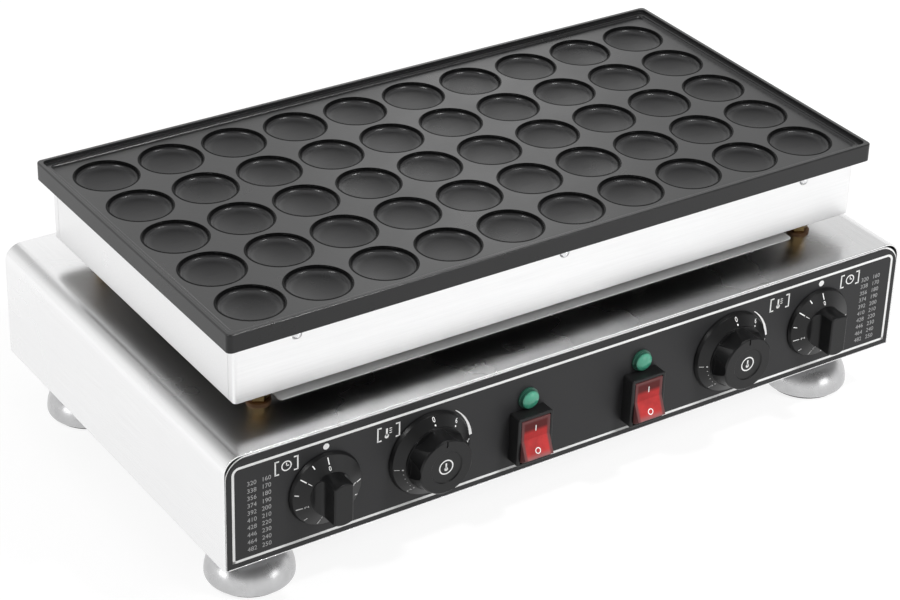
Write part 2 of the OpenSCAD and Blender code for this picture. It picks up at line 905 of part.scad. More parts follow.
// Holes that the controls need in the panel and the fascia
module control_holes() {
    for (x = [-1, 1]) {
        for (knob_x = [timer_x, thermostat_x])
            on_panel(x * knob_x, knob_h)
                translate([0, 0, -panel_stack - cut])
                    cylinder(d = neck_d + hole_fit, h = panel_stack + 2 * cut);
        on_panel(x * switch_x, lamp_h)
            translate([0, 0, -panel_stack - cut])
                cylinder(d = lamp_holder_d + hole_fit, h = panel_stack + 2 * cut);
        on_panel(x * switch_x, switch_h)
            translate([0, 0, -panel_stack / 2])
                cube([switch_body_w + hole_fit, switch_body_h + hole_fit, panel_stack + 2 * cut],
                    center = true);
    }
}

module front_panel() {
    color([0.82, 0.82, 0.84])
        difference() {
            end_panel(-1);
            control_holes();
        }
}

module control_fascia() {
    color([0.13, 0.13, 0.14])
        difference() {
            translate([0, -base_w / 2, floor_z + fascia_low])
                rotate([90, 0, 0])
                    linear_extrude(fascia_t)
                        arched_rect(base_l - 2 * fascia_side, base_h - fascia_low - fascia_high,
                            panel_corner_r + sheet_t + panel_gap - fascia_side);
            control_holes();
        }
}

module rear_panel() {
    color([0.8, 0.8, 0.82])
        difference() {
            end_panel(1);
            translate([inlet_x, base_w / 2 + cut, floor_z + inlet_h])
                rotate([90, 0, 0])
                    cylinder(d = inlet_d + hole_fit, h = sheet_t + 2 * cut);
        }
}

// Screwed inlet for the supply cord, open through its middle
module cord_inlet() {
    collar_h = 5;
    cap_h = inlet_reach - collar_h;
    color([0.1, 0.1, 0.11])
        translate([inlet_x, base_w / 2, floor_z + inlet_h])
            rotate([-90, 0, 0])
                difference() {
                    union() {
                        rotate(30)
                            cylinder(d = (inlet_d + 4) / cos(30), h = collar_h, $fn = 6);
                        translate([0, 0, -sheet_t - inlet_d / 2])
                            cylinder(d = inlet_d, h = sheet_t + inlet_d / 2 + cut);
                        translate([0, 0, collar_h - cut])
                            cylinder(d1 = inlet_d + 2, d2 = inlet_d - 2, h = cap_h + cut);
                    }
                    translate([0, 0, -inlet_d])
                        cylinder(d = inlet_bore_d, h = 2 * inlet_d + cap_h);
                }
}

module cord_inlet_nut() {
    color([0.1, 0.1, 0.11])
        translate([inlet_x, base_w / 2 - sheet_t, floor_z + inlet_h])
            rotate([90, 0, 0])
                hex_nut(inlet_d + 6, inlet_d + 2 * seat, inlet_d / 4);
}

// Feet

module foot(x, y) {
    dome_x = foot_d / 2 - foot_dome_r;
    base_z = pad_t - pad_seat;
    wide_z = base_z + foot_edge_r;
    neck_r = foot_neck_d / 2;
    color([0.78, 0.78, 0.8])
        translate([x * foot_x, y * foot_y, 0])
            difference() {
                rotate_extrude() {
                    intersection() {
                        translate([dome_x, wide_z])
                            circle(foot_dome_r, $fn = 128);
                        translate([0, wide_z])
                            square([foot_d / 2, foot_dome_r]);
                    }
                    translate([0, wide_z])
                        square([dome_x, foot_dome_r]);
                    translate([0, base_z])
                        square([foot_d / 2 - foot_edge_r, foot_edge_r]);
                    intersection() {
                        translate([foot_d / 2 - foot_edge_r, wide_z])
                            circle(foot_edge_r);
                        translate([0, base_z])
                            square([foot_d, foot_edge_r]);
                    }
                    translate([0, wide_z])
                        square([neck_r, foot_h - wide_z]);
                }
                translate([0, 0, base_z - cut])
                    cylinder(d = pad_d + 2 * seat, h = pad_seat + cut);
                translate([0, 0, foot_h - foot_bolt_depth - cut])
                    cylinder(d = foot_bolt_d + hole_fit, h = foot_bolt_depth + 2 * cut);
            }
}

module foot_front_left() {
    foot(-1, -1);
}

module foot_front_right() {
    foot(1, -1);
}

module foot_back_left() {
    foot(-1, 1);
}

module foot_back_right() {
    foot(1, 1);
}

module pad(x, y) {
    color([0.08, 0.08, 0.08])
        translate([x * foot_x, y * foot_y, 0])
            cylinder(d = pad_d, h = pad_t);
}

module pad_front_left() {
    pad(-1, -1);
}

module pad_front_right() {
    pad(1, -1);
}

module pad_back_left() {
    pad(-1, 1);
}

module pad_back_right() {
    pad(1, 1);
}

module foot_bolts() {
    head_h = 0.64 * foot_bolt_d;
    head_af = 1.7 * foot_bolt_d;
    color([0.7, 0.7, 0.72])
        at_feet()
            translate([0, 0, floor_z + sheet_t]) {
                cylinder(d = head_af / cos(30), h = head_h, $fn = 6);
                translate([0, 0, -sheet_t - foot_bolt_depth])
                    cylinder(d = foot_bolt_d, h = sheet_t + foot_bolt_depth + cut);
            }
}

// Knobs and what they turn

// Round skirt with a sloping face, hollow behind, around a hub
module knob_skirt(skirt_d, grip_d) {
    edge_z = knob_gap + skirt_edge_h;
    face_d = skirt_d - 2 * skirt_draft;
    wall = 2.5;
    hub_d = 2.4 * shaft_d;
    difference() {
        union() {
            translate([0, 0, knob_gap])
                cylinder(d1 = skirt_d, d2 = face_d, h = skirt_edge_h);
            translate([0, 0, edge_z])
                cylinder(d1 = face_d, d2 = grip_d, h = skirt_cone_h);
        }
        difference() {
            translate([0, 0, knob_gap - seat])
                cylinder(d1 = skirt_d - 2 * wall, d2 = grip_d - 2 * wall, h = edge_z);
            cylinder(d = hub_d, h = skirt_d);
        }
    }
}

module shaft_bore(depth) {
    translate([0, 0, -cut])
        cylinder(d = shaft_d + 2 * knob_fit, h = depth + cut);
}

// Outline of a timer knob's bar, seen along it: upright sides with hollow feet on a low disc
module timer_bar_outline(foot_z) {
    hollow_x = timer_bar_w / 2 + timer_foot_r;
    hollow_z = foot_z + timer_foot_r;
    difference() {
        translate([-timer_grip_d / 2, foot_z - 2 * cut])
            square([timer_grip_d, timer_knob_h - foot_z + 2 * cut]);
        for (s = [-1, 1]) {
            translate([s * hollow_x, hollow_z])
                circle(timer_foot_r);
            translate([s * (timer_bar_w + timer_grip_d) / 2, hollow_z + timer_knob_h / 2])
                square([timer_grip_d, timer_knob_h], center = true);
            translate([s * (hollow_x + timer_grip_d / 2), foot_z + timer_knob_h / 2])
                square([timer_grip_d, timer_knob_h], center = true);
            translate([s * timer_bar_w / 2, timer_knob_h])
                rotate(s > 0 ? 180 : 270)
                    edge_sliver(timer_edge_r);
        }
    }
}

// Knob with an upright bar across a low disc
module timer_knob(x) {
    grip_z = knob_gap + skirt_edge_h + skirt_cone_h;
    step_h = 0.6;
    color([0.1, 0.1, 0.11])
        on_panel(x, knob_h)
            difference() {
                union() {
                    knob_skirt(timer_skirt_d, timer_grip_d);
                    intersection() {
                        rotate_extrude()
                            difference() {
                                square([timer_grip_d / 2, timer_knob_h]);
                                translate([timer_grip_d / 2, timer_knob_h])
                                    rotate(180)
                                        edge_sliver(timer_edge_r);
                            }
                        rotate([90, 0, 0])
                            linear_extrude(timer_grip_d + cut, center = true)
                                timer_bar_outline(grip_z + step_h);
                    }
                }
                shaft_bore(timer_knob_h - 6);
            }
}

module timer_knob_left() {
    timer_knob(-timer_x);
}

module timer_knob_right() {
    timer_knob(timer_x);
}

// Fluted round knob with a dished front
module thermostat_knob(x) {
    grip_z = knob_gap + skirt_edge_h + skirt_cone_h;
    step_h = 1.5;
    edge_h = 1;
    dish_depth = 0.8;
    pointer_w = 1.4;
    pointer_len = 5;
    flute_x = thermostat_grip_d / 2 - flute_depth + flute_r;
    color([0.1, 0.1, 0.11])
        on_panel(x, knob_h)
            difference() {
                union() {
                    knob_skirt(thermostat_skirt_d, thermostat_grip_d);
                    translate([0, 0, grip_z - cut])
                        cylinder(d = thermostat_grip_d, h = cut + step_h);
                    difference() {
                        union() {
                            translate([0, 0, grip_z])
                                cylinder(d1 = thermostat_grip_d, d2 = thermostat_front_d,
                                    h = thermostat_knob_h - edge_h - grip_z);
                            translate([0, 0, thermostat_knob_h - edge_h])
                                cylinder(d1 = thermostat_front_d, d2 = thermostat_front_d - 2 * edge_h,
                                    h = edge_h);
                        }
                        for (i = [0 : flute_count - 1])
                            rotate(i * 360 / flute_count)
                                translate([flute_x, 0, grip_z + step_h])
                                    cylinder(r = flute_r, h = thermostat_knob_h);
                    }
                }
                translate([0, 0, thermostat_knob_h - dish_depth])
                    cylinder(d1 = dish_d - 2 * dish_depth, d2 = dish_d, h = dish_depth + seat);
                translate([0, thermostat_front_d / 2, thermostat_knob_h])
                    cube([pointer_w, 2 * pointer_len, 2 * dish_depth], center = true);
                shaft_bore(thermostat_knob_h - 6);
            }
}

module thermostat_knob_left() {
    thermostat_knob(-thermostat_x);
}

module thermostat_knob_right() {
    thermostat_knob(thermostat_x);
}

module shaft(x, top) {
    color([0.75, 0.75, 0.77])
        on_panel(x, knob_h)
            translate([0, 0, -panel_stack - shaft_depth])
                cylinder(d = shaft_d, h = panel_stack + shaft_depth + top - 7);
}

module timer_shaft_left() {
    shaft(-timer_x, timer_knob_h);
}

module timer_shaft_right() {
    shaft(timer_x, timer_knob_h);
}

module thermostat_shaft_left() {
    shaft(-thermostat_x, thermostat_knob_h);
}

module thermostat_shaft_right() {
    shaft(thermostat_x, thermostat_knob_h);
}

// Case behind the panel with a threaded neck that the shaft turns in
module control_case(x, w, h, depth) {
    on_panel(x, knob_h)
        difference() {
            union() {
                translate([0, 0, -panel_stack - depth])
                    linear_extrude(depth)
                        rounded_rect(w, h, 3);
                translate([0, 0, -panel_stack - cut])
                    cylinder(d = neck_d, h = panel_stack + cut);
            }
            translate([0, 0, -panel_stack - shaft_depth - cut])
                cylinder(d = shaft_d + 2 * shaft_fit, h = panel_stack + shaft_depth + 2 * cut);
        }
}

module timer_case_left() {
    color([0.2, 0.2, 0.22])
        control_case(-timer_x, timer_case_w, timer_case_h, timer_case_depth);
}

module timer_case_right() {
    color([0.2, 0.2, 0.22])
        control_case(timer_x, timer_case_w, timer_case_h, timer_case_depth);
}

module thermostat_case_left() {
    color([0.85, 0.83, 0.78])
        control_case(-thermostat_x, thermostat_case_w, thermostat_case_h, thermostat_case_depth);
}

module thermostat_case_right() {
    color([0.85, 0.83, 0.78])
        control_case(thermostat_x, thermostat_case_w, thermostat_case_h, thermostat_case_depth);
}

// Tube from a thermostat's back, up into the heater box, to a bulb under the plate
module capillary(side) {
    start_x = thermostat_x - capillary_offset;
    start_y = -base_w / 2 + sheet_t + thermostat_case_depth + capillary_d / 2 + seat;
    run_z = floor_z + knob_h;
    run_len = norm([riser_x - start_x, riser_y - start_y]);
    run_turn = side * atan2(start_x - riser_x, riser_y - start_y);
    color([0.72, 0.45, 0.3])
        translate([side * riser_x, riser_y, 0]) {
            rotate(run_turn)
                translate([0, -capillary_bend_r, run_z]) {
                    rotate([90, 0, 0])
                        cylinder(d = capillary_d, h = run_len - capillary_bend_r);
                    translate([0, 0, capillary_bend_r])
                        rotate([0, 90, 0])
                            rotate_extrude(angle = 90)
                                translate([capillary_bend_r, 0])
                                    circle(d = capillary_d);
                }
            translate([0, 0, run_z + capillary_bend_r])
                cylinder(d = capillary_d, h = bulb_z - run_z - 2 * capillary_bend_r);
            translate([0, capillary_bend_r, bulb_z - capillary_bend_r])
                rotate([0, 90, 0])
                    rotate(180)
                        rotate_extrude(angle = 90)
                            translate([capillary_bend_r, 0])
                                circle(d = capillary_d);
            translate([0, capillary_bend_r, bulb_z])
                rotate([-90, 0, 0])
                    cylinder(d = bulb_d, h = bulb_len);
        }
}

module capillary_left() {
    capillary(-1);
}

module capillary_right() {
    capillary(1);
}

// Lamps

module lamp_lens(x) {
    flange_h = 1.4;
    dome_h = 2;
    dome_r = (lens_d * lens_d / 4 + dome_h * dome_h) / (2 * dome_h);
    color([0.2, 0.62, 0.48])
        on_panel(x, lamp_h)
            rotate_extrude() {
                square([lens_flange_d / 2, flange_h]);
                square([lens_d / 2, lens_h - dome_h]);
                intersection() {
                    translate([0, lens_h - dome_r])
                        circle(dome_r);
                    translate([0, lens_h - dome_h - seat])
                        square([lens_d / 2, dome_h + cut]);
                }
            }
}

module lamp_lens_left() {
    lamp_lens(-switch_x);
}

module lamp_lens_right() {
    lamp_lens(switch_x);
}

module lamp_holder(x) {
    nut_t = 4;
    color([0.15, 0.15, 0.16])
        on_panel(x, lamp_h) {
            translate([0, 0, -panel_stack - lamp_holder_len])
                cylinder(d = lamp_holder_d, h = lamp_holder_len + panel_stack);
            translate([0, 0, -panel_stack - nut_t])
                cylinder(d = (lamp_holder_d + 4) / cos(30), h = nut_t, $fn = 6);
        }
}

module lamp_holder_left() {
    lamp_holder(-switch_x);
}

module lamp_holder_right() {
    lamp_holder(switch_x);
}

// Switches

module switch_frame(x) {
    color([0.1, 0.1, 0.11])
        on_panel(x, switch_h)
            difference() {
                union() {
                    linear_extrude(frame_d)
                        rounded_rect(frame_w, frame_h, frame_corner_r);
                    translate([0, 0, cut - (panel_stack + switch_body_depth + cut) / 2])
                        cube([switch_body_w, switch_body_h, panel_stack + switch_body_depth + cut],
                            center = true);
                }
                translate([0, 0, frame_d])
                    sweep_round(frame_w, frame_h, frame_corner_r)
                        rotate(180)
                            edge_sliver(frame_edge_r);
                translate([0, 0, pivot_z]) {
                    rotate([0, 90, 0])
                        cylinder(r = rocker_r + rocker_gap, h = frame_window_w, center = true);
                    translate([0, 0, frame_h / 2])
                        cube([frame_window_w, frame_window_h, frame_h], center = true);
                    rotate([0, 90, 0])
                        cylinder(d = pivot_d + 2 * pivot_fit, h = rocker_w + 2 * (pin_len + rocker_gap),
                            center = true);
                }
            }
}

module switch_frame_left() {
    switch_frame(-switch_x);
}

module switch_frame_right() {
    switch_frame(switch_x);
}

// Rocker with a shallow crease across its middle, shown with its upper half pressed in
module rocker(x) {
    rise = rocker_r * tan(rocker_tilt);
    belly_r = rocker_r - 5;
    color([0.72, 0.1, 0.1])
        on_panel(x, switch_h)
            translate([0, 0, pivot_z])
                rotate([-rocker_tilt, 0, 0])
                    rotate([0, 90, 0])
                        rotate(90) {
                            linear_extrude(rocker_w, center = true)
                                intersection() {
                                    circle(rocker_r);
                                    polygon([
                                        [0, rocker_crease_h],
                                        [rocker_r, rocker_crease_h + rise],
                                        [rocker_r, 0],
                                        [belly_r, -pivot_d],
                                        [-belly_r, -pivot_d],
                                        [-rocker_r, 0],
                                        [-rocker_r, rocker_crease_h + rise]
                                    ]);
                                }
                            cylinder(d = pivot_d, h = rocker_w + 2 * pin_len, center = true);
                        }
}

module rocker_left() {
    rocker(-switch_x);
}

module rocker_right() {
    rocker(switch_x);
}

// Terminal block on the floor near the cord inlet
module terminal_block() {
    pole_pitch = block_l / block_poles;
    wall = 2.5;
    color([0.9, 0.88, 0.82])
        translate([inlet_x - block_l, base_w / 2 - 3 * flange_w, floor_z + sheet_t])
            difference() {
                translate([-block_l / 2, -block_w / 2, 0])
                    cube([block_l, block_w, block_h]);
                for (i = [0 : block_poles - 1])
                    translate([(i - (block_poles - 1) / 2) * pole_pitch, 0, block_h / 2])
                        translate([-pole_pitch / 2 + wall / 2, -block_w / 2 - cut, 0])
                            cube([pole_pitch - wall, block_w / 3, block_h]);
            }
}

// A sheathed lead from point to point, with a moulded ball at each turn
module lead(points) {
    for (i = [0 : len(points) - 2]) {
        step = points[i + 1] - points[i];
        translate(points[i])
            rotate([0, acos(step[2] / norm(step)), atan2(step[1], step[0])])
                cylinder(d = lead_d, h = norm(step));
    }
    if (len(points) > 2)
        for (i = [1 : len(points) - 2])
            translate(points[i])
                sphere(d = lead_d + 1);
}

// A thicker length of the loom that lies along X and takes the leads' ends
module trunk(half_len) {
    rotate([0, 90, 0])
        cylinder(d = trunk_d, h = 2 * half_len, center = true);
}

// Leads from the terminal block to the controls and up to the elements
module wiring_loom() {
    back_y = -base_w / 2 + sheet_t;
    run_y = back_y + trunk_y;
    run_z = floor_z + trunk_h;
    block_x = inlet_x - block_l;
    block_y = base_w / 2 - 3 * flange_w;
    block_z = floor_z + sheet_t + block_h / 4;
    pin_x = run_x(element_runs - 1);
    pin_y = -element_half_run - terminal_len - lead_d / 2;
    box_z = board_z + board_t + trunk_d / 2 + seat;
    color([0.55, 0.2, 0.15]) {
        translate([0, run_y, run_z])
            trunk(timer_x + trunk_d);
        translate([0, pin_y, box_z])
            trunk(zone_x + pin_x + trunk_d);
        for (side = [-1, 1]) {
            for (control = [
                [timer_x, timer_case_depth],
                [thermostat_x, thermostat_case_depth],
                [switch_x - trunk_d, switch_body_depth]
            ])
                lead([
                    [side * control[0], back_y + control[1], run_z],
                    [side * control[0], run_y, run_z]
                ]);
            lead([
                [side * switch_x, back_y + lamp_holder_len, floor_z + lamp_h],
                [side * switch_x, run_y, floor_z + lamp_h],
                [side * switch_x, run_y, run_z]
            ]);
            for (end = [-1, 1])
                lead([
                    [side * zone_x + end * pin_x, pin_y, box_z],
                    [side * zone_x + end * pin_x, pin_y, element_z + element_d / 2]
                ]);
        }
        lead([[0, run_y, run_z], [0, 0, run_z], [0, 0, box_z], [0, pin_y, box_z]]);
        lead([
            [block_x, block_y - block_w / 2, block_z],
            [block_x, run_y, block_z],
            [block_x, run_y, run_z]
        ]);
    }
}

baking_plate();
skirt_front();
skirt_back();
skirt_left();
skirt_right();
skirt_screws();
heater_pan();
insulating_board();
heating_element_left();
heating_element_right();
element_clamps();
clamp_studs();
clamp_nuts();
support_studs();
support_nuts();
support_washers();
heat_shield();
wiring_sleeve();
base_cover();
base_floor();
floor_screws();
front_panel();
rear_panel();
control_fascia();
cord_inlet();
cord_inlet_nut();
foot_front_left();
foot_front_right();
foot_back_left();
foot_back_right();
pad_front_left();
pad_front_right();
pad_back_left();
pad_back_right();
foot_bolts();
timer_knob_left();
timer_knob_right();
timer_shaft_left();
timer_shaft_right();
timer_case_left();
timer_case_right();
thermostat_knob_left();
thermostat_knob_right();
thermostat_shaft_left();
thermostat_shaft_right();
thermostat_case_left();
thermostat_case_right();
capillary_left();
capillary_right();
lamp_lens_left();
lamp_lens_right();
lamp_holder_left();
lamp_holder_right();
switch_frame_left();
switch_frame_right();
rocker_left();
rocker_right();
terminal_block();
wiring_loom();
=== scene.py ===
import json
import math

import bmesh
import bpy
from mathutils import Matrix, Vector


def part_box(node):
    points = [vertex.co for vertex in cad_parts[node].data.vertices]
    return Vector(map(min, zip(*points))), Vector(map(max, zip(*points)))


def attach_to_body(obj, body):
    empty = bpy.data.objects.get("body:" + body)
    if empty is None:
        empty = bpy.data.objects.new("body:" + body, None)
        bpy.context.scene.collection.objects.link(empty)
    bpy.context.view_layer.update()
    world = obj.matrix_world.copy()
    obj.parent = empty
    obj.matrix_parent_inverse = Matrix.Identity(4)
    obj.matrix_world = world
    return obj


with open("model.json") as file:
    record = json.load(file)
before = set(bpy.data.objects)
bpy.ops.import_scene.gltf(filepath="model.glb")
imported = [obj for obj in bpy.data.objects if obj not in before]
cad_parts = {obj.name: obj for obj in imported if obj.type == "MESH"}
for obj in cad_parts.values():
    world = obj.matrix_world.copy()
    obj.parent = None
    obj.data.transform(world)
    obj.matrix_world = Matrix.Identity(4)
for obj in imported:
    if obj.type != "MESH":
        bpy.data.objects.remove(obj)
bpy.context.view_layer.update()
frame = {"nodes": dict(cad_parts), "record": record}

MM = 0.001

# Sizes of the part that the looks have to follow, in millimetres
FASCIA_Y = -168.8
FLOOR_Z = 44.0
KNOB_H = 43.5
TIMER_X = 217.5
THERMOSTAT_X = 133.0
SWITCH_X = 50.0
SWITCH_H = 33.0
LENS_DEPTH = 6.0
WELL_PITCH = 53.0
WELL_COLUMNS = 10
WELL_ROWS = 5
WELL_WALL_R = 23.0
PRINT_T = 0.06
PRINT_LIFT = 0.03


# Camera: fitted to the grid of wells in the photograph

CAM_FOCAL_PX = 2670.75
CAM_FRAME_PX = 900.0
CAM_SENSOR = 36.0
CAM_PLACE = (-994.68, -1461.68, 1118.46)
CAM_ELEVATION = 30.300
CAM_AZIMUTH = -34.103
CAM_ROLL = 1.821
CAM_REACH = 50.0


def make_camera():
    el, az, roll = (math.radians(a) for a in (CAM_ELEVATION, CAM_AZIMUTH, CAM_ROLL))
    back = Vector((math.sin(az) * math.cos(el), -math.cos(az) * math.cos(el), math.sin(el)))
    level = Vector((math.cos(az), math.sin(az), 0.0))
    rise = back.cross(level)
    right = level * math.cos(roll) + rise * math.sin(roll)
    up = rise * math.cos(roll) - level * math.sin(roll)
    turn = Matrix((right, up, back)).transposed().to_4x4()
    data = bpy.data.cameras.new("camera")
    data.sensor_width = CAM_SENSOR
    data.lens = CAM_FOCAL_PX * CAM_SENSOR / CAM_FRAME_PX
    data.clip_end = CAM_REACH
    camera = bpy.data.objects.new("camera", data)
    camera.matrix_world = Matrix.Translation(Vector(CAM_PLACE) * MM) @ turn
    bpy.context.scene.collection.objects.link(camera)
    bpy.context.scene.camera = camera


# Node building

class Nodes:
    """Short ways to add nodes to a node tree. An input is a socket or a constant."""

    def __init__(self, tree):
        self.nodes = tree.nodes
        self.links = tree.links

    def feed(self, socket, value):
        if isinstance(value, bpy.types.NodeSocket):
            self.links.new(value, socket)
        else:
            socket.default_value = value

    def vector(self, operation, *values, output="Vector"):
        node = self.nodes.new("ShaderNodeVectorMath")
        node.operation = operation
        for socket, value in zip(node.inputs, values):
            self.feed(socket, value)
        return node.outputs[output]

    def math(self, operation, *values):
        node = self.nodes.new("ShaderNodeMath")
        node.operation = operation
        for socket, value in zip(node.inputs, values):
            self.feed(socket, value)
        return node.outputs["Value"]

    def axis(self, vector, name):
        node = self.nodes.new("ShaderNodeSeparateXYZ")
        self.links.new(vector, node.inputs["Vector"])
        return node.outputs[name]

    def ranged(self, value, start, end, low=0.0, high=1.0):
        node = self.nodes.new("ShaderNodeMapRange")
        node.interpolation_type = "SMOOTHSTEP"
        for socket, number in (("Value", value), ("From Min", start), ("From Max", end),
                               ("To Min", low), ("To Max", high)):
            self.feed(node.inputs[socket], number)
        return node.outputs["Result"]

    def mix(self, factor, a, b):
        node = self.nodes.new("ShaderNodeMix")
        node.data_type = "RGBA"
        for socket, value in (("Factor", factor), ("A", a), ("B", b)):
            self.feed(node.inputs[socket], value if not isinstance(value, tuple) else (*value, 1.0))
        return node.outputs["Result"]

    def seen(self):
        """Two switches: for rays that look straight on or through glass, and for glossy rays."""
        path = self.nodes.new("ShaderNodeLightPath").outputs
        straight = self.math("MAXIMUM", path["Is Camera Ray"], path["Is Transmission Ray"])
        return straight, path["Is Glossy Ray"]


# Materials

# The span of a noise's values that a pattern runs over
NOISE_SPAN = (0.25, 0.75)
BEVEL_SAMPLES = 6


class Shader(Nodes):
    """A material with one Principled shader. Its pattern space is the row frame in metres."""

    def __init__(self, name, color, metallic=0.0, roughness=0.5, edge=0.0, **sockets):
        self.material = bpy.data.materials.new(name)
        self.material.use_nodes = True
        super().__init__(self.material.node_tree)
        self.bsdf = self.nodes["Principled BSDF"]
        self.color = color
        self.roughness = roughness
        self.set("Base Color", (*color, 1.0))
        self.set("Metallic", metallic)
        self.set("Roughness", roughness)
        for key, value in sockets.items():
            self.set(key.replace("_", " "), value)
        self.place = self.nodes.new("ShaderNodeTexCoord").outputs["Object"]
        self.normal = None
        if edge:
            self.soften(edge)

    def set(self, socket, value):
        self.feed(self.bsdf.inputs[socket], value)

    def soften(self, radius):
        """Lets the light roll over sharp edges as over a small rounding."""
        bevel = self.nodes.new("ShaderNodeBevel")
        bevel.samples = BEVEL_SAMPLES
        bevel.inputs["Radius"].default_value = radius * MM
        self.normal = bevel.outputs["Normal"]
        self.set("Normal", self.normal)

    def noise(self, scale, stretch=(1.0, 1.0, 1.0), detail=4.0, rough=0.55):
        node = self.nodes.new("ShaderNodeTexNoise")
        node.inputs["Scale"].default_value = scale
        node.inputs["Detail"].default_value = detail
        node.inputs["Roughness"].default_value = rough
        self.feed(node.inputs["Vector"], self.vector("MULTIPLY", self.place, stretch))
        return node.outputs["Fac"]

    def upward(self):
        """The upward part of the surface normal."""
        return self.axis(self.nodes.new("ShaderNodeNewGeometry").outputs["Normal"], "Z")

    def shade(self, share):
        """The base colour, lighter or darker by a share."""
        return tuple(min(1.0, c * (1.0 + share)) for c in self.color)

    def varied(self, value, spread):
        """The base colour, varied along a noise by a share to either side."""
        return self.mix(self.ranged(value, *NOISE_SPAN), self.shade(-spread), self.shade(spread))

    def tint(self, value, spread):
        """Sets the varied base colour."""
        self.set("Base Color", self.varied(value, spread))

    def gloss(self, value, spread):
        """Varies the roughness along a noise by an amount to either side."""
        low, high = self.roughness - spread, self.roughness + spread
        self.set("Roughness", self.ranged(value, *NOISE_SPAN, low, high))

    def bump(self, value, distance):
        node = self.nodes.new("ShaderNodeBump")
        node.inputs["Distance"].default_value = distance * MM
        self.feed(node.inputs["Height"], value)
        if self.normal is not None:
            self.feed(node.inputs["Normal"], self.normal)
        self.normal = node.outputs["Normal"]
        self.set("Normal", self.normal)

    def level(self, share):
        """Turns the shading normal upwards by a share, as where a coating has run together."""
        kept = self.math("SUBTRACT", 1.0, share)
        node = self.nodes.new("ShaderNodeCombineXYZ")
        self.feed(node.inputs["Z"], share)
        leaning = self.vector("MULTIPLY_ADD", self.normal, self.spread(kept), node.outputs["Vector"])
        self.normal = self.vector("NORMALIZE", leaning)
        self.set("Normal", self.normal)

    def spread(self, value):
        """A vector with one value on all its axes."""
        node = self.nodes.new("ShaderNodeCombineXYZ")
        for socket in node.inputs:
            self.feed(socket, value)
        return node.outputs["Vector"]

    def brush(self, way, amount):
        """Blurs reflections across a grain that runs along way."""
        normal = self.nodes.new("ShaderNodeNewGeometry").outputs["Normal"]
        self.set("Anisotropic", amount)
        self.set("Tangent", self.vector("CROSS_PRODUCT", normal, way))


# Grain of rolled sheet: the stretch of its noise and the way it runs
GRAIN_X = ((0.02, 1.0, 1.0), (1.0, 0.02, 0.01))
GRAIN_Y = ((1.0, 0.02, 1.0), (0.02, 1.0, 0.01))
GRAIN_SCALE = 900.0
GRAIN_TINT = 0.025
GRAIN_DEPTH = 0.0004
SHEET_CLOUDS = 11.0
SHEET_GLOSS = 0.03
# Upward parts of the normal between which a face starts and ends to look down
LOOKS_DOWN = (-0.3, -0.7)


def sheet(name, color, roughness, grain, blur, edge=0.5, under=0.0):
    """Rolled sheet metal: fine lines along its grain, which also blur what it mirrors across them.

    Its faces that look down are darkened by a given share, as painted shade.
    """
    stretch, way = grain
    steel = Shader(name, color, metallic=1.0, roughness=roughness, edge=edge)
    lines = steel.noise(GRAIN_SCALE, stretch, detail=6.0, rough=0.7)
    bright = steel.varied(lines, GRAIN_TINT)
    down = steel.ranged(steel.upward(), *LOOKS_DOWN)
    # Painted shade: faces that look down take a darker base colour.
    steel.set("Base Color", steel.mix(down, bright, steel.shade(-under)))
    steel.gloss(steel.noise(SHEET_CLOUDS, detail=3.0), SHEET_GLOSS)
    steel.bump(lines, GRAIN_DEPTH)
    steel.brush(way, blur)
    return steel.material


STAIN_SCALE = 120.0
POLISH_SCALE = 40.0
POLISH_GLOSS = 0.04
TOOL_SCALE = 900.0
TOOL_DEPTH = 0.001


def turned(name, color, roughness, edge=0.3, stain=0.08):
    """Turned, drawn or cast metal with faint stains."""
    metal = Shader(name, color, metallic=1.0, roughness=roughness, edge=edge)
    metal.tint(metal.noise(STAIN_SCALE, detail=5.0), stain)
    metal.gloss(metal.noise(POLISH_SCALE, detail=3.0), POLISH_GLOSS)
    metal.bump(metal.noise(TOOL_SCALE, detail=3.0), TOOL_DEPTH)
    return metal.material


# Where the painted shade gives way to painted light, outwards from the middle
PAINTED_LIGHT_FADE = (200.0 * MM, 262.0 * MM)
SHADE_SHEET_CLOUDS = 60.0
SHADE_SHEET_TINT = 0.2


def scorched(name, dark, bright, roughness):
    """Sheet under the box, darkened as painted shade, and paler towards its ends as painted light."""
    metal = Shader(name, dark, metallic=1.0, roughness=roughness, edge=0.3)
    clouded_shade = metal.varied(metal.noise(SHADE_SHEET_CLOUDS), SHADE_SHEET_TINT)
    outward = metal.math("ABSOLUTE", metal.axis(metal.place, "X"))
    # Painted light towards the ends over the painted shade of the middle.
    metal.set("Base Color", metal.mix(metal.ranged(outward, *PAINTED_LIGHT_FADE), clouded_shade, bright))
    return metal.material


MOULD_CLOUDS = 28.0
MOULD_TINT = 0.08
MOULD_GLOSS = 0.05


def moulded(name, color, roughness, grain=0.006, scale=1400.0, edge=0.4, **sockets):
    """Plastic, rubber or fibre with the fine grain of its mould."""
    plastic = Shader(name, color, roughness=roughness, edge=edge, **sockets)
    clouds = plastic.noise(MOULD_CLOUDS, detail=3.0)
    plastic.tint(clouds, MOULD_TINT)
    plastic.gloss(clouds, MOULD_GLOSS)
    plastic.bump(plastic.noise(scale, detail=3.0), grain)
    return plastic.material


# Share of a cell by which points beyond the grid are drawn into its outer cells
CELL_MARGIN = 0.01


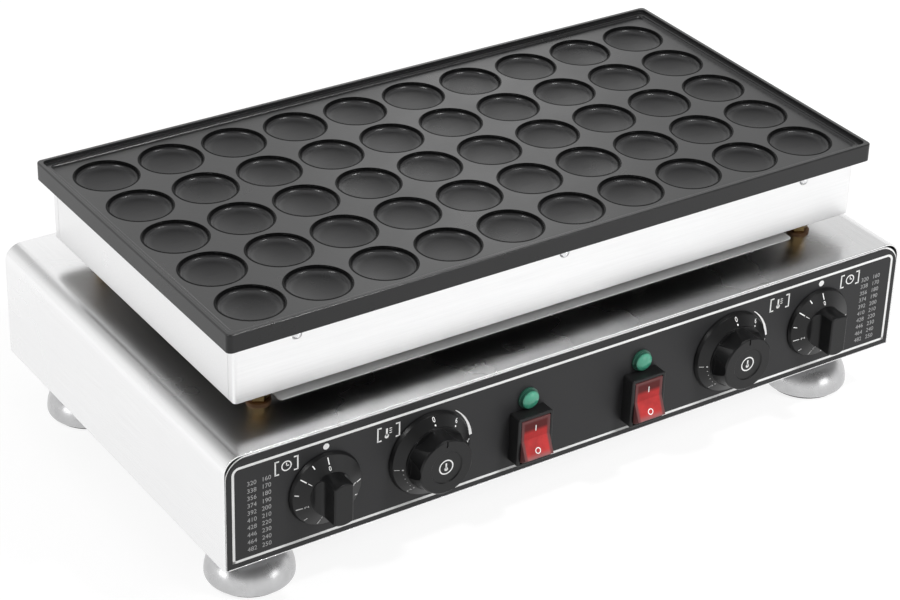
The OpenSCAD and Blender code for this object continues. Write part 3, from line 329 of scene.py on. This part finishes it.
def well_distance(coat, shift=(0.0, 0.0)):
    """Millimetres from a point by the middle of the nearest well."""
    scale = 1.0 / (WELL_PITCH * MM)
    start = (WELL_COLUMNS / 2 - shift[0] / WELL_PITCH, WELL_ROWS / 2 - shift[1] / WELL_PITCH, 0.0)
    cells = coat.vector("MULTIPLY_ADD", coat.place, (scale, scale, 0.0), start)
    inside = coat.vector("MAXIMUM", cells, (CELL_MARGIN, CELL_MARGIN, 0.0))
    inside = coat.vector("MINIMUM", inside, (WELL_COLUMNS - CELL_MARGIN, WELL_ROWS - CELL_MARGIN, 0.0))
    offset = coat.vector("SUBTRACT", coat.vector("FRACTION", inside), (0.5, 0.5, 0.0))
    return coat.math("MULTIPLY", coat.vector("LENGTH", offset, output="Value"), WELL_PITCH)


# Shift of the outer edge of the dark ring of painted shade round each well
RING_SHIFT = (-0.5, -0.7)
# Bands by the wells' wall, in millimetres outwards from it
RING_INNER = (-0.6, 0.2)
RING_OUTER = (2.0, 1.4)
SHEEN_EDGE = (-0.4, -1.2)
# Band of painted light inside each well's wall
PAINTED_LIGHT_INNER = (-7.0, -1.5)
PAINTED_LIGHT_OUTER = (-0.6, -1.4)
CORNER_INNER = (-4.0, -2.8)
CORNER_OUTER = (-0.9, -1.6)
# Levels of the coat
COAT_CLOUDS = 14.0
COAT_TINT = 0.12
COAT_GLOSS = 0.04
PEEL_SCALE = 520.0
PEEL_DEPTH = 0.03
LOOKS_UP = (0.2, 0.7)
SHEEN_BY_SLOPE = (0.28, 0.62)
SHEEN_INTO_WELL = (1.3, 0.4)
RING_SHADE = -0.8
RING_SHEEN = 0.05
CORNER_LEVEL = 0.7


def by_wall(coat, r, band, low=0.0, high=1.0):
    """A value that goes from low to high over a band by the wells' wall."""
    return coat.ranged(r, WELL_WALL_R + band[0], WELL_WALL_R + band[1], low, high)


def coated(name, color, painted_light_color, roughness):
    """Cast plate under a satin non-stick coat: fine peel, faint clouds, and a paler band inside each
    well's wall that is painted light.

    A dull dark ring round the mouths of the wells is painted shade.
    """
    coat = Shader(name, color, roughness=roughness, edge=0.5)
    clouds = coat.noise(COAT_CLOUDS, detail=4.0)
    plain = coat.varied(clouds, COAT_TINT)
    r = well_distance(coat)
    ring = coat.math("MULTIPLY", by_wall(coat, r, RING_INNER),
                     by_wall(coat, well_distance(coat, RING_SHIFT), RING_OUTER))
    sheen = coat.math("MULTIPLY", coat.ranged(coat.upward(), *LOOKS_UP, *SHEEN_BY_SLOPE),
                      by_wall(coat, r, SHEEN_EDGE, *SHEEN_INTO_WELL))
    painted_light_band = coat.math("MULTIPLY", by_wall(coat, r, PAINTED_LIGHT_INNER), by_wall(coat, r, PAINTED_LIGHT_OUTER))
    # Painted light in the band inside the wall, painted shade in the ring round the mouth.
    coat.set("Base Color", coat.mix(ring, coat.mix(painted_light_band, plain, painted_light_color), coat.shade(RING_SHADE)))
    coat.set("Specular IOR Level", coat.ranged(ring, 0.0, 1.0, sheen, RING_SHEEN))
    coat.gloss(clouds, COAT_GLOSS)
    coat.bump(coat.noise(PEEL_SCALE, detail=5.0, rough=0.65), PEEL_DEPTH)
    corner = coat.math("MULTIPLY", by_wall(coat, r, CORNER_INNER),
                       by_wall(coat, r, CORNER_OUTER, 0.0, CORNER_LEVEL))
    coat.level(corner)
    return coat.material


# Depths behind the lens's tip between which its wall, dark as painted shade, turns into its dome
LENS_DOME = (2.6, 1.2)
LENS_CLOUDS = 160.0
LENS_TINT = 0.15


def lens(name, dome, wall, roughness):
    """Coloured acrylic: its domed front in its own colour, its wall dark as painted shade."""
    glass = Shader(name, dome, roughness=roughness, edge=0.4, Coat_Weight=0.4, Transmission_Weight=0.1)
    depth = glass.math("MULTIPLY", glass.axis(glass.place, "Y"), -1.0 / MM)
    front = glass.ranged(depth, *(LENS_DEPTH - FASCIA_Y - behind for behind in LENS_DOME))
    glow = glass.varied(glass.noise(LENS_CLOUDS), LENS_TINT)
    # Painted shade on the wall behind the dome.
    glass.set("Base Color", glass.mix(front, wall, glow))
    return glass.material


ROCKER_HALF_W = 12.2
ROCKER_HALF_H = 17.6
# Insets of the pale rim of painted light, and heights over the pivot of the upper end's painted shade and
# the lower end's painted light
RIM_SIDE = (3.2, 1.4)
RIM_END = (3.6, 1.6)
UPPER_END = (5.5, 10.0)
LOWER_END = (-8.0, -14.0)
ROCKER_CLOUDS = 90.0
ROCKER_TINT = 0.2


def rocker_red(name, core, edge, top, low):
    """Red acrylic: bright in the middle, pale as painted light on its rim, where its walls gather light,
    and at its lower end, and dark as painted shade at its upper end.
    """
    red = Shader(name, core, roughness=0.35, edge=1.2, Specular_IOR_Level=0.2, Transmission_Weight=0.1)
    outward = red.math("ABSOLUTE", red.axis(red.place, "X"))
    across = red.math("ABSOLUTE", red.math("SUBTRACT", outward, SWITCH_X * MM))
    up = red.math("SUBTRACT", red.axis(red.place, "Z"), (FLOOR_Z + SWITCH_H) * MM)
    side = red.ranged(across, *((ROCKER_HALF_W - inset) * MM for inset in RIM_SIDE))
    end = red.ranged(red.math("ABSOLUTE", up), *((ROCKER_HALF_H - inset) * MM for inset in RIM_END))
    rim = red.math("MAXIMUM", side, end)
    upper = red.ranged(up, *(height * MM for height in UPPER_END))
    lower = red.ranged(up, *(height * MM for height in LOWER_END))
    clouds = red.varied(red.noise(ROCKER_CLOUDS), ROCKER_TINT)
    # Painted light on the rim and lower end, painted shade at the upper end.
    red.set("Base Color", red.mix(rim, red.mix(lower, red.mix(upper, clouds, top), low), edge))
    return red.material


LOOKS = {
    # The plate's second colour is painted light inside the wells.
    "plate_coating": coated("plate_coating", (0.012, 0.012, 0.0125), (0.05, 0.05, 0.051), 0.3),
    # The box's faces that look down get painted shade.
    "box_steel": sheet("box_steel", (0.85, 0.85, 0.852), 0.3, GRAIN_X, 0.5, under=0.95),
    "base_steel": sheet("base_steel", (0.88, 0.88, 0.883), 0.26, GRAIN_Y, 0.65),
    "plain_steel": sheet("plain_steel", (0.3, 0.3, 0.305), 0.45, GRAIN_X, 0.3),
    "fastener_steel": turned("fastener_steel", (0.72, 0.72, 0.73), 0.25),
    "brass": turned("brass", (0.5, 0.35, 0.16), 0.17),
    "copper": turned("copper", (0.24, 0.14, 0.08), 0.4),
    "element_steel": turned("element_steel", (0.3, 0.28, 0.26), 0.5),
    "insulation": moulded("insulation", (0.8, 0.77, 0.68), 0.9, grain=0.2, scale=400.0),
    "fascia_black": moulded("fascia_black", (0.02, 0.02, 0.021), 0.45, grain=0.04, scale=800.0,
                            Specular_IOR_Level=0.3),
    "knob_black": moulded("knob_black", (0.006, 0.006, 0.0063), 0.36, Specular_IOR_Level=0.32),
    "switch_black": moulded("switch_black", (0.01, 0.01, 0.0103), 0.4, Specular_IOR_Level=0.3),
    # After the core: the rim's painted light, the upper end's painted shade, the lower end's painted
    # light.
    "rocker_red": rocker_red("rocker_red", (0.5, 0.03, 0.03), (0.16, 0.055, 0.055), (0.1, 0.006, 0.006),
                             (0.3, 0.15, 0.15)),
    # The second colour is the wall's painted shade.
    "lens_green": lens("lens_green", (0.06, 0.36, 0.23), (0.02, 0.1, 0.066), 0.3),
    "foot_metal": turned("foot_metal", (0.52, 0.52, 0.525), 0.28, stain=0.05),
    "pad_rubber": moulded("pad_rubber", (0.012, 0.012, 0.012), 0.75, grain=0.03),
    "case_dark": moulded("case_dark", (0.02, 0.02, 0.022), 0.5),
    "case_pale": moulded("case_pale", (0.7, 0.68, 0.62), 0.5),
    "loom_sheath": moulded("loom_sheath", (0.3, 0.06, 0.04), 0.8, grain=0.1, scale=500.0),
}
# Dark as painted shade in the middle, pale as painted light at the ends.
PAINTED_SHADE_STEEL = scorched("painted_shade_steel", (0.035, 0.034, 0.033), (0.4, 0.39, 0.38), 0.5)
GALVANISED = moulded("galvanised_sheet", (0.75, 0.75, 0.75), 0.6, grain=0.02, scale=600.0)
INK = moulded("white_ink", (0.93, 0.93, 0.92), 0.5, edge=0.0)
GREY_INK = moulded("grey_ink", (0.42, 0.42, 0.42), 0.5, edge=0.0)


# Pieces under the box that take the sheet of painted shade and painted light
IN_PAINTED_SHADE = ("heater_pan", "heat_shield", "capillary_left", "capillary_right")


def dress_nodes():
    for row in frame["record"]["subparts"]:
        mesh = frame["nodes"][row["node"]].data
        mesh.materials.clear()
        mesh.materials.append(PAINTED_SHADE_STEEL if row["node"] in IN_PAINTED_SHADE else LOOKS[row["material_slot"]])


# Printing: flat outlines that are lifted onto the surface they are printed on

class Print:
    """Collects flat closed outlines and turns them into thin solids on a surface."""

    def __init__(self):
        self.shapes = []

    def outline(self, points):
        self.shapes.append([Vector((x, y)) for x, y in points])

    def box(self, x0, y0, x1, y1):
        self.outline([(x0, y0), (x1, y0), (x1, y1), (x0, y1)])

    def stroke(self, a, b, width):
        a, b = Vector(a), Vector(b)
        side = (b - a).normalized().orthogonal() * (width / 2)
        self.outline([a + side, a - side, b - side, b + side])

    def disc(self, x, y, r, count=32):
        turn = 2 * math.pi / count
        self.outline([(x + r * math.cos(i * turn), y + r * math.sin(i * turn)) for i in range(count)])

    def arc(self, x, y, r, start, end, width_a, width_b=None, count=72):
        """A band along an arc in degrees; its width goes from width_a to width_b."""
        width_b = width_a if width_b is None else width_b
        steps = max(2, int(abs(end - start) / 360 * count))
        outer, inner = [], []
        for i in range(steps + 1):
            share = i / steps
            a = math.radians(start + (end - start) * share)
            half = (width_a + (width_b - width_a) * share) / 2
            outer.append((x + (r + half) * math.cos(a), y + (r + half) * math.sin(a)))
            inner.append((x + (r - half) * math.cos(a), y + (r - half) * math.sin(a)))
        for i in range(steps):
            self.outline([inner[i], outer[i], outer[i + 1], inner[i + 1]])

    def text(self, body, x, y, size, turn=0.0):
        """Plain numerals, centred on a point and turned by some degrees."""
        curve = bpy.data.curves.new("numerals", "FONT")
        curve.body = body
        curve.size = size
        curve.align_x = "CENTER"
        curve.align_y = "CENTER"
        curve.resolution_u = 3
        holder = bpy.data.objects.new("numerals", curve)
        bpy.context.scene.collection.objects.link(holder)
        bpy.context.view_layer.update()
        shaped = holder.evaluated_get(bpy.context.evaluated_depsgraph_get())
        mesh = bpy.data.meshes.new_from_object(shaped)
        spin = Matrix.Rotation(math.radians(turn), 2)
        for face in mesh.polygons:
            points = [spin @ mesh.vertices[i].co.to_2d() + Vector((x, y)) for i in face.vertices]
            self.shapes.append(points)
        bpy.data.objects.remove(holder)
        bpy.data.curves.remove(curve)
        bpy.data.meshes.remove(mesh)

    def build(self, name, lift, place, material):
        """lift(x, y) is the surface's height in millimetres; place is the matrix from print space."""
        bm = bmesh.new()
        for points in self.shapes:
            low = [bm.verts.new((p.x, p.y, lift(p.x, p.y) + PRINT_LIFT)) for p in points]
            bm.faces.new(low)
        bmesh.ops.remove_doubles(bm, verts=bm.verts, dist=1e-4)
        bmesh.ops.recalc_face_normals(bm, faces=bm.faces)
        raised = bmesh.ops.extrude_face_region(bm, geom=bm.faces[:])
        moved = [v for v in raised["geom"] if isinstance(v, bmesh.types.BMVert)]
        bmesh.ops.translate(bm, verts=moved, vec=(0.0, 0.0, PRINT_T))
        bmesh.ops.recalc_face_normals(bm, faces=bm.faces)
        return finish_mesh(bm, name, place, material)


def finish_mesh(bm, name, place, material):
    """place takes millimetres in the piece's own space to metres in the row frame."""
    bm.transform(place)
    mesh = bpy.data.meshes.new(name)
    bm.to_mesh(mesh)
    bm.free()
    mesh.materials.append(material)
    piece = bpy.data.objects.new(name, mesh)
    bpy.context.scene.collection.objects.link(piece)
    return piece


def on_panel(x, h):
    """From millimetres on the panel (right, up, out) to metres in the row frame."""
    turn = Matrix.Rotation(math.radians(90), 4, "X")
    return Matrix.Scale(MM, 4) @ Matrix.Translation((x, FASCIA_Y, FLOOR_Z + h)) @ turn


def attach(piece, body):
    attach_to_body(piece, body)


def ray(angle, r):
    a = math.radians(angle)
    return (r * math.cos(a), r * math.sin(a))


def flat(x, y):
    return 0.0


def bracket(ink, x, y, w=17.5, h=11.5, line=1.1, hook=3.0):
    """Square brackets around a pictogram."""
    for s in (-1, 1):
        edge = x + s * w / 2
        for end in (-1, 1):
            tip = y + end * h / 2
            ink.stroke((edge, y), (edge, tip), line)
            ink.stroke((edge, tip - end * line / 2), (edge - s * hook, tip - end * line / 2), line)


def clock_sign(ink, x, y, r=3.6, ring=0.9, minute=2.6, hour=2.0, hand=0.8):
    bracket(ink, x, y)
    ink.arc(x, y, r, 0, 360, ring)
    ink.stroke((x, y - hand / 2), (x, y + minute), hand)
    ink.stroke((x - hand / 2, y), (x + hour, y), hand)


def heat_sign(ink, x, y, lean=1.5, low=2.6, high=3.6, bulb=1.7, stem=1.5):
    """A thermometer with three marks beside it."""
    bracket(ink, x, y)
    ink.disc(x - lean, y - low, bulb)
    ink.stroke((x - lean, y - low), (x - lean, y + high), stem)
    near, far, top, pitch, line = 0.6, 2.6, 3.0, 1.8, 0.6
    for i in range(3):
        mark = y + top - pitch * i
        ink.stroke((x + near, mark), (x + far, mark), line)


def number_table(ink, x_left, x_right):
    """Two columns of plain temperatures, Fahrenheit beside Celsius."""
    rows, coldest, step = 10, 160, 10
    top, pitch, size = 66.5, 5.95, 5.0
    for i in range(rows):
        celsius = coldest + step * i
        fahrenheit = celsius * 9 // 5 + 32
        ink.text(str(fahrenheit), x_left, top - pitch * i, size)
        ink.text(str(celsius), x_right, top - pitch * i, size)


def border(ink, half=289.6, low=5.3, high=82.5, r=6.0, line=2.0):
    """Line round the panel: round upper corners, square lower ones."""
    ink.box(-half, low, half, low + line)
    for s in (-1, 1):
        edge = sorted((s * half, s * (half - line)))
        ink.box(edge[0], low, edge[1], high - r)
        start = (90, 0) if s > 0 else (180, 90)
        ink.arc(s * (half - r), high - r, r - line / 2, start[0], start[1], line)
    ink.box(-half + r, high - line, half - r, high)


# Places on the panel: across from its middle, and up from the base's lower edge
CLOCK_X = 247.4
CLOCK_H = 71.3
HEAT_X = (-166.5, 178.7)
HEAT_H = 71.0
TABLE_INNER = 263.0
TABLE_OUTER = 274.3
POINTER_SHIFT = 1.1
POINTER_H = 76.2
POINTER_R = 2.4
# Curved wedge beside each thermostat: radius, angles and widths of its two ends
WEDGE_R = 34.8
WEDGE_SPAN = (52, 5)
WEDGE_LINE = (0.5, 2.4)
# Bare steel along the fascia's lower edge
HEM_HALF = 293.0
HEM_LOW = 0.65
HEM_LINE = 0.7


def print_panel():
    ink = Print()
    border(ink)
    for s in (-1, 1):
        clock_sign(ink, s * CLOCK_X, CLOCK_H)
        ink.disc(s * TIMER_X + POINTER_SHIFT, POINTER_H, POINTER_R)
        ink.arc(s * THERMOSTAT_X, KNOB_H, WEDGE_R, *WEDGE_SPAN, *WEDGE_LINE)
    for x in HEAT_X:
        heat_sign(ink, x, HEAT_H)
    attach(ink.build("panel_print", flat, on_panel(0.0, 0.0), INK), "base")
    table = Print()
    number_table(table, -TABLE_OUTER, -TABLE_INNER)
    number_table(table, TABLE_INNER, TABLE_OUTER)
    attach(table.build("panel_tables", flat, on_panel(0.0, 0.0), GREY_INK), "base")
    hem = Print()
    hem.box(-HEM_HALF, HEM_LOW, HEM_HALF, HEM_LOW + HEM_LINE)
    attach(hem.build("panel_hem", flat, on_panel(0.0, 0.0), LOOKS["base_steel"]), "base")


def cone_lift(r_face, r_grip, z_face=3.5, z_grip=8.5):
    """Height of a knob skirt's sloping face over a point of it."""
    def lift(x, y):
        share = (r_face - math.hypot(x, y)) / (r_face - r_grip)
        return z_face + (z_grip - z_face) * share
    return lift


# Angle of a dial's top
DIAL_TOP = 90.0
# Timer dial: radii of its cone, ticks and numbers
TIMER_CONE = (27.3, 16.5)
TICKS = 11
TICK_STEP = 27.0
TICK_OUTER = 26.4
TICK_LONG = 21.9
TICK_SHORT = 23.7
TICK_LINE = 0.8
TIMER_NUMBER_R = 19.2
TIMER_NUMBER_SIZE = 4.2


def print_timer(side, x):
    """Ticks round the dial, with a number at every second one."""
    ink = Print()
    for i in range(TICKS):
        angle = DIAL_TOP + TICK_STEP * i
        numbered = i % 2 == 0
        ink.stroke(ray(angle, TICK_LONG if numbered else TICK_SHORT), ray(angle, TICK_OUTER), TICK_LINE)
        if numbered:
            ink.text(str(i // 2), *ray(angle, TIMER_NUMBER_R), TIMER_NUMBER_SIZE, angle - DIAL_TOP)
    piece = ink.build("timer_print_" + side, cone_lift(*TIMER_CONE), on_panel(x, KNOB_H), INK)
    attach(piece, "timer_" + side)


# Thermostat dial: radii of its cone, numbers and dots, and the angles of its scale
THERMOSTAT_CONE = (31.8, 24.5)
SCALE_START = 185.0
SCALE_STEP = 45.0
SCALE_STEPS = 6
DOT_STEP = 9.0
DOT_COUNT = 4
SCALE_NUMBER_R = 29.4
SCALE_NUMBER_SIZE = 4.6
DOT_RING_R = 26.1
DOT_R = 0.6
SMALL_DOT_R = 0.35
# Height of the grip's face, and the thermometer in a ring on it
GRIP_FACE = 22.2
SIGN_R = 5.4
SIGN_LINE = 1.0
BULB_H = -1.6
BULB_R = 1.5
STEM_SPAN = (-1.5, 3.2)
STEM_W = 1.3


def print_thermostat(side, x):
    """Numbers with dots under them on the cone, small dots before the first, a sign on the grip."""
    ink = Print()
    angles = [DIAL_TOP] + [SCALE_START + SCALE_STEP * i for i in range(SCALE_STEPS)]
    for number, angle in enumerate(angles):
        ink.text(str(number), *ray(angle, SCALE_NUMBER_R), SCALE_NUMBER_SIZE, angle - DIAL_TOP)
        ink.disc(*ray(angle, DOT_RING_R), DOT_R, 16)
    for i in range(1, DOT_COUNT + 1):
        ink.disc(*ray(SCALE_START + DOT_STEP * i, DOT_RING_R), SMALL_DOT_R, 12)
    piece = ink.build("thermostat_print_" + side, cone_lift(*THERMOSTAT_CONE), on_panel(x, KNOB_H), INK)
    attach(piece, "thermostat_" + side)
    sign = Print()
    sign.arc(0, 0, SIGN_R, 0, 360, SIGN_LINE)
    sign.disc(0, BULB_H, BULB_R)
    sign.stroke((0, STEM_SPAN[0]), (0, STEM_SPAN[1]), STEM_W)
    face = sign.build("thermostat_sign_" + side, lambda u, v: GRIP_FACE, on_panel(x, KNOB_H), INK)
    attach(face, "thermostat_" + side)


ROCKER_PIVOT = 5.5
ROCKER_TILT = 12.0
ROCKER_CREASE = 6.2
# Line on the upper half and ring on the lower half
LINE_HALF_W = 0.42
LINE_SPAN = (5.6, 10.2)
RING_H = -9.6
RING_R = 2.0
RING_LINE = 0.7


def print_rocker(side, x):
    """Line on the upper half, ring on the lower half, each in the plane of its half."""
    slope = math.tan(math.radians(ROCKER_TILT))
    turn = Matrix.Rotation(math.radians(-ROCKER_TILT), 4, "X")
    place = on_panel(x, SWITCH_H) @ Matrix.Translation((0, 0, ROCKER_PIVOT)) @ turn
    ink = Print()
    ink.box(-LINE_HALF_W, LINE_SPAN[0], LINE_HALF_W, LINE_SPAN[1])
    ink.arc(0, RING_H, RING_R, 0, 360, RING_LINE)
    piece = ink.build("rocker_print_" + side, lambda u, v: ROCKER_CREASE + abs(v) * slope, place, INK)
    attach(piece, "rocker_" + side)


# Sheet flanges under the heater box

SHIELD_FOOT = 11.0
SHIELD_T = 0.5
SHIELD_END = 2.0
SHIELD_ROUND = 3.0
SHIELD_EDGE = 0.15
CORNER_STEPS = 6


def shield_flange(name, side):
    """Foot of the heat shield: a strip folded outwards onto the base's top."""
    low, high = (corner / MM for corner in map(Vector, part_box("heat_shield")))
    inner = high.y if side > 0 else -low.y
    left, right, outer = low.x + SHIELD_END, high.x - SHIELD_END, inner + SHIELD_FOOT
    points = [(left, inner), (right, inner)]
    for x, start in ((right - SHIELD_ROUND, 0), (left + SHIELD_ROUND, 90)):
        for step in range(CORNER_STEPS + 1):
            u, v = ray(start + 90 / CORNER_STEPS * step, SHIELD_ROUND)
            points.append((x + u, outer - SHIELD_ROUND + v))
    bm = bmesh.new()
    face = bm.faces.new([bm.verts.new((x, side * y, low.z)) for x, y in points])
    raised = bmesh.ops.extrude_face_region(bm, geom=[face])["geom"]
    top = [v for v in raised if isinstance(v, bmesh.types.BMVert)]
    bmesh.ops.translate(bm, verts=top, vec=(0.0, 0.0, SHIELD_T))
    rim = [e for e in bm.edges if all(v in top for v in e.verts)]
    bmesh.ops.bevel(bm, geom=rim, offset=SHIELD_EDGE, segments=2, affect="EDGES")
    bmesh.ops.recalc_face_normals(bm, faces=bm.faces)
    attach(finish_mesh(bm, name, Matrix.Scale(MM, 4), GALVANISED), "base")


# Studio

FLOOR_HALF = 6000.0
FLOOR_ALBEDO = 0.22
# Glow of the floor near the part and away from it, and where it changes, in metres
GLOW_NEAR = 0.83
GLOW_FAR = 0.95
GLOW_FADE = (0.4, 1.2)
# Light of the sky, and the heights and backward parts of a direction between which it changes
SKY_DIFFUSE = 0.5
SKY_HIGH = 0.15
SKY_AROUND = 0.3
BACK_WAY = (0.05, 1.0, 0.0)
BACK_EDGE = (0.25, 0.55)
HIGH_EDGE = (0.26, 0.9)
HORIZON_EDGE = (0.08, 0.28)
LAMP_AIM = (0.0, 0.0, 0.15)


def make_floor():
    """Pale floor: it takes the shadow near the part and runs out into white."""
    pale = Shader("studio_floor", (FLOOR_ALBEDO,) * 3, roughness=0.9, Specular_IOR_Level=0.1,
                  Emission_Color=(1.0, 1.0, 1.0, 1.0))
    away = pale.vector("LENGTH", pale.place, output="Value")
    straight, glossy = pale.seen()
    seen = pale.math("MAXIMUM", straight, glossy)
    glow = pale.ranged(away, *GLOW_FADE, GLOW_NEAR, GLOW_FAR)
    pale.set("Emission Strength", pale.math("MULTIPLY", seen, glow))
    bm = bmesh.new()
    bmesh.ops.create_grid(bm, x_segments=1, y_segments=1, size=FLOOR_HALF)
    finish_mesh(bm, "floor", Matrix.Scale(MM, 4), pale.material)


def make_world():
    """White round the horizon; what metal and coatings mirror higher up is bright at the back alone."""
    world = bpy.data.worlds.new("studio")
    bpy.context.scene.world = world
    world.use_nodes = True
    sky = Nodes(world.node_tree)
    glow = sky.nodes["Background"]
    glow.inputs["Color"].default_value = (1.0, 1.0, 1.0, 1.0)
    way = sky.nodes.new("ShaderNodeTexCoord").outputs["Generated"]
    height = sky.axis(way, "Z")
    backward = sky.vector("DOT_PRODUCT", way, BACK_WAY, output="Value")
    back_share = sky.ranged(backward, *BACK_EDGE, SKY_AROUND, 1.0)
    mirrored = sky.math("MULTIPLY", sky.ranged(height, *HIGH_EDGE, 1.0, SKY_HIGH),
                        sky.ranged(height, *HORIZON_EDGE, 1.0, back_share))
    straight, glossy = sky.seen()
    level = sky.ranged(glossy, 0.0, 1.0, SKY_DIFFUSE, mirrored)
    sky.feed(glow.inputs["Strength"], sky.ranged(straight, 0.0, 1.0, level, 1.0))


def area_light(name, place, size, watts, mirrored=True):
    data = bpy.data.lights.new(name, "AREA")
    data.shape = "RECTANGLE"
    data.size, data.size_y = size
    data.energy = watts
    lamp = bpy.data.objects.new(name, data)
    way = Vector(LAMP_AIM) - Vector(place)
    lamp.matrix_world = Matrix.Translation(place) @ way.to_track_quat("-Z", "Y").to_matrix().to_4x4()
    lamp.visible_camera = False
    lamp.visible_glossy = mirrored
    bpy.context.scene.collection.objects.link(lamp)


def make_lights():
    """Places and sizes in metres, power in watts. The key lights the sheets and isn't mirrored in them."""
    area_light("key", (0.62, -1.15, 0.95), (0.4, 0.4), 9.0, mirrored=False)
    area_light("low_right", (0.61, -1.37, 0.19), (0.5, 0.32), 1.1)
    area_light("low_left", (-1.5, 0.05, 0.19), (0.5, 0.32), 1.3)
    area_light("right", (0.41, -0.76, 1.42), (0.13, 0.13), 8.0)
    area_light("left", (-1.15, -0.1, 1.31), (0.16, 0.16), 6.0)
    area_light("back_left", (0.3, 1.9, 1.45), (0.8, 0.9), 0.8)
    area_light("back", (1.3, 1.9, 1.5), (0.4, 1.2), 1.4)


make_camera()
make_world()
make_lights()
make_floor()
dress_nodes()
print_panel()
for SIDE, SIGN in (("left", -1), ("right", 1)):
    print_timer(SIDE, SIGN * TIMER_X)
    print_thermostat(SIDE, SIGN * THERMOSTAT_X)
    print_rocker(SIDE, SIGN * SWITCH_X)
for SIDE, SIGN in (("front", -1), ("back", 1)):
    shield_flange("heat_shield_foot_" + SIDE, SIGN)

bpy.context.scene.view_settings.view_transform = "Standard"
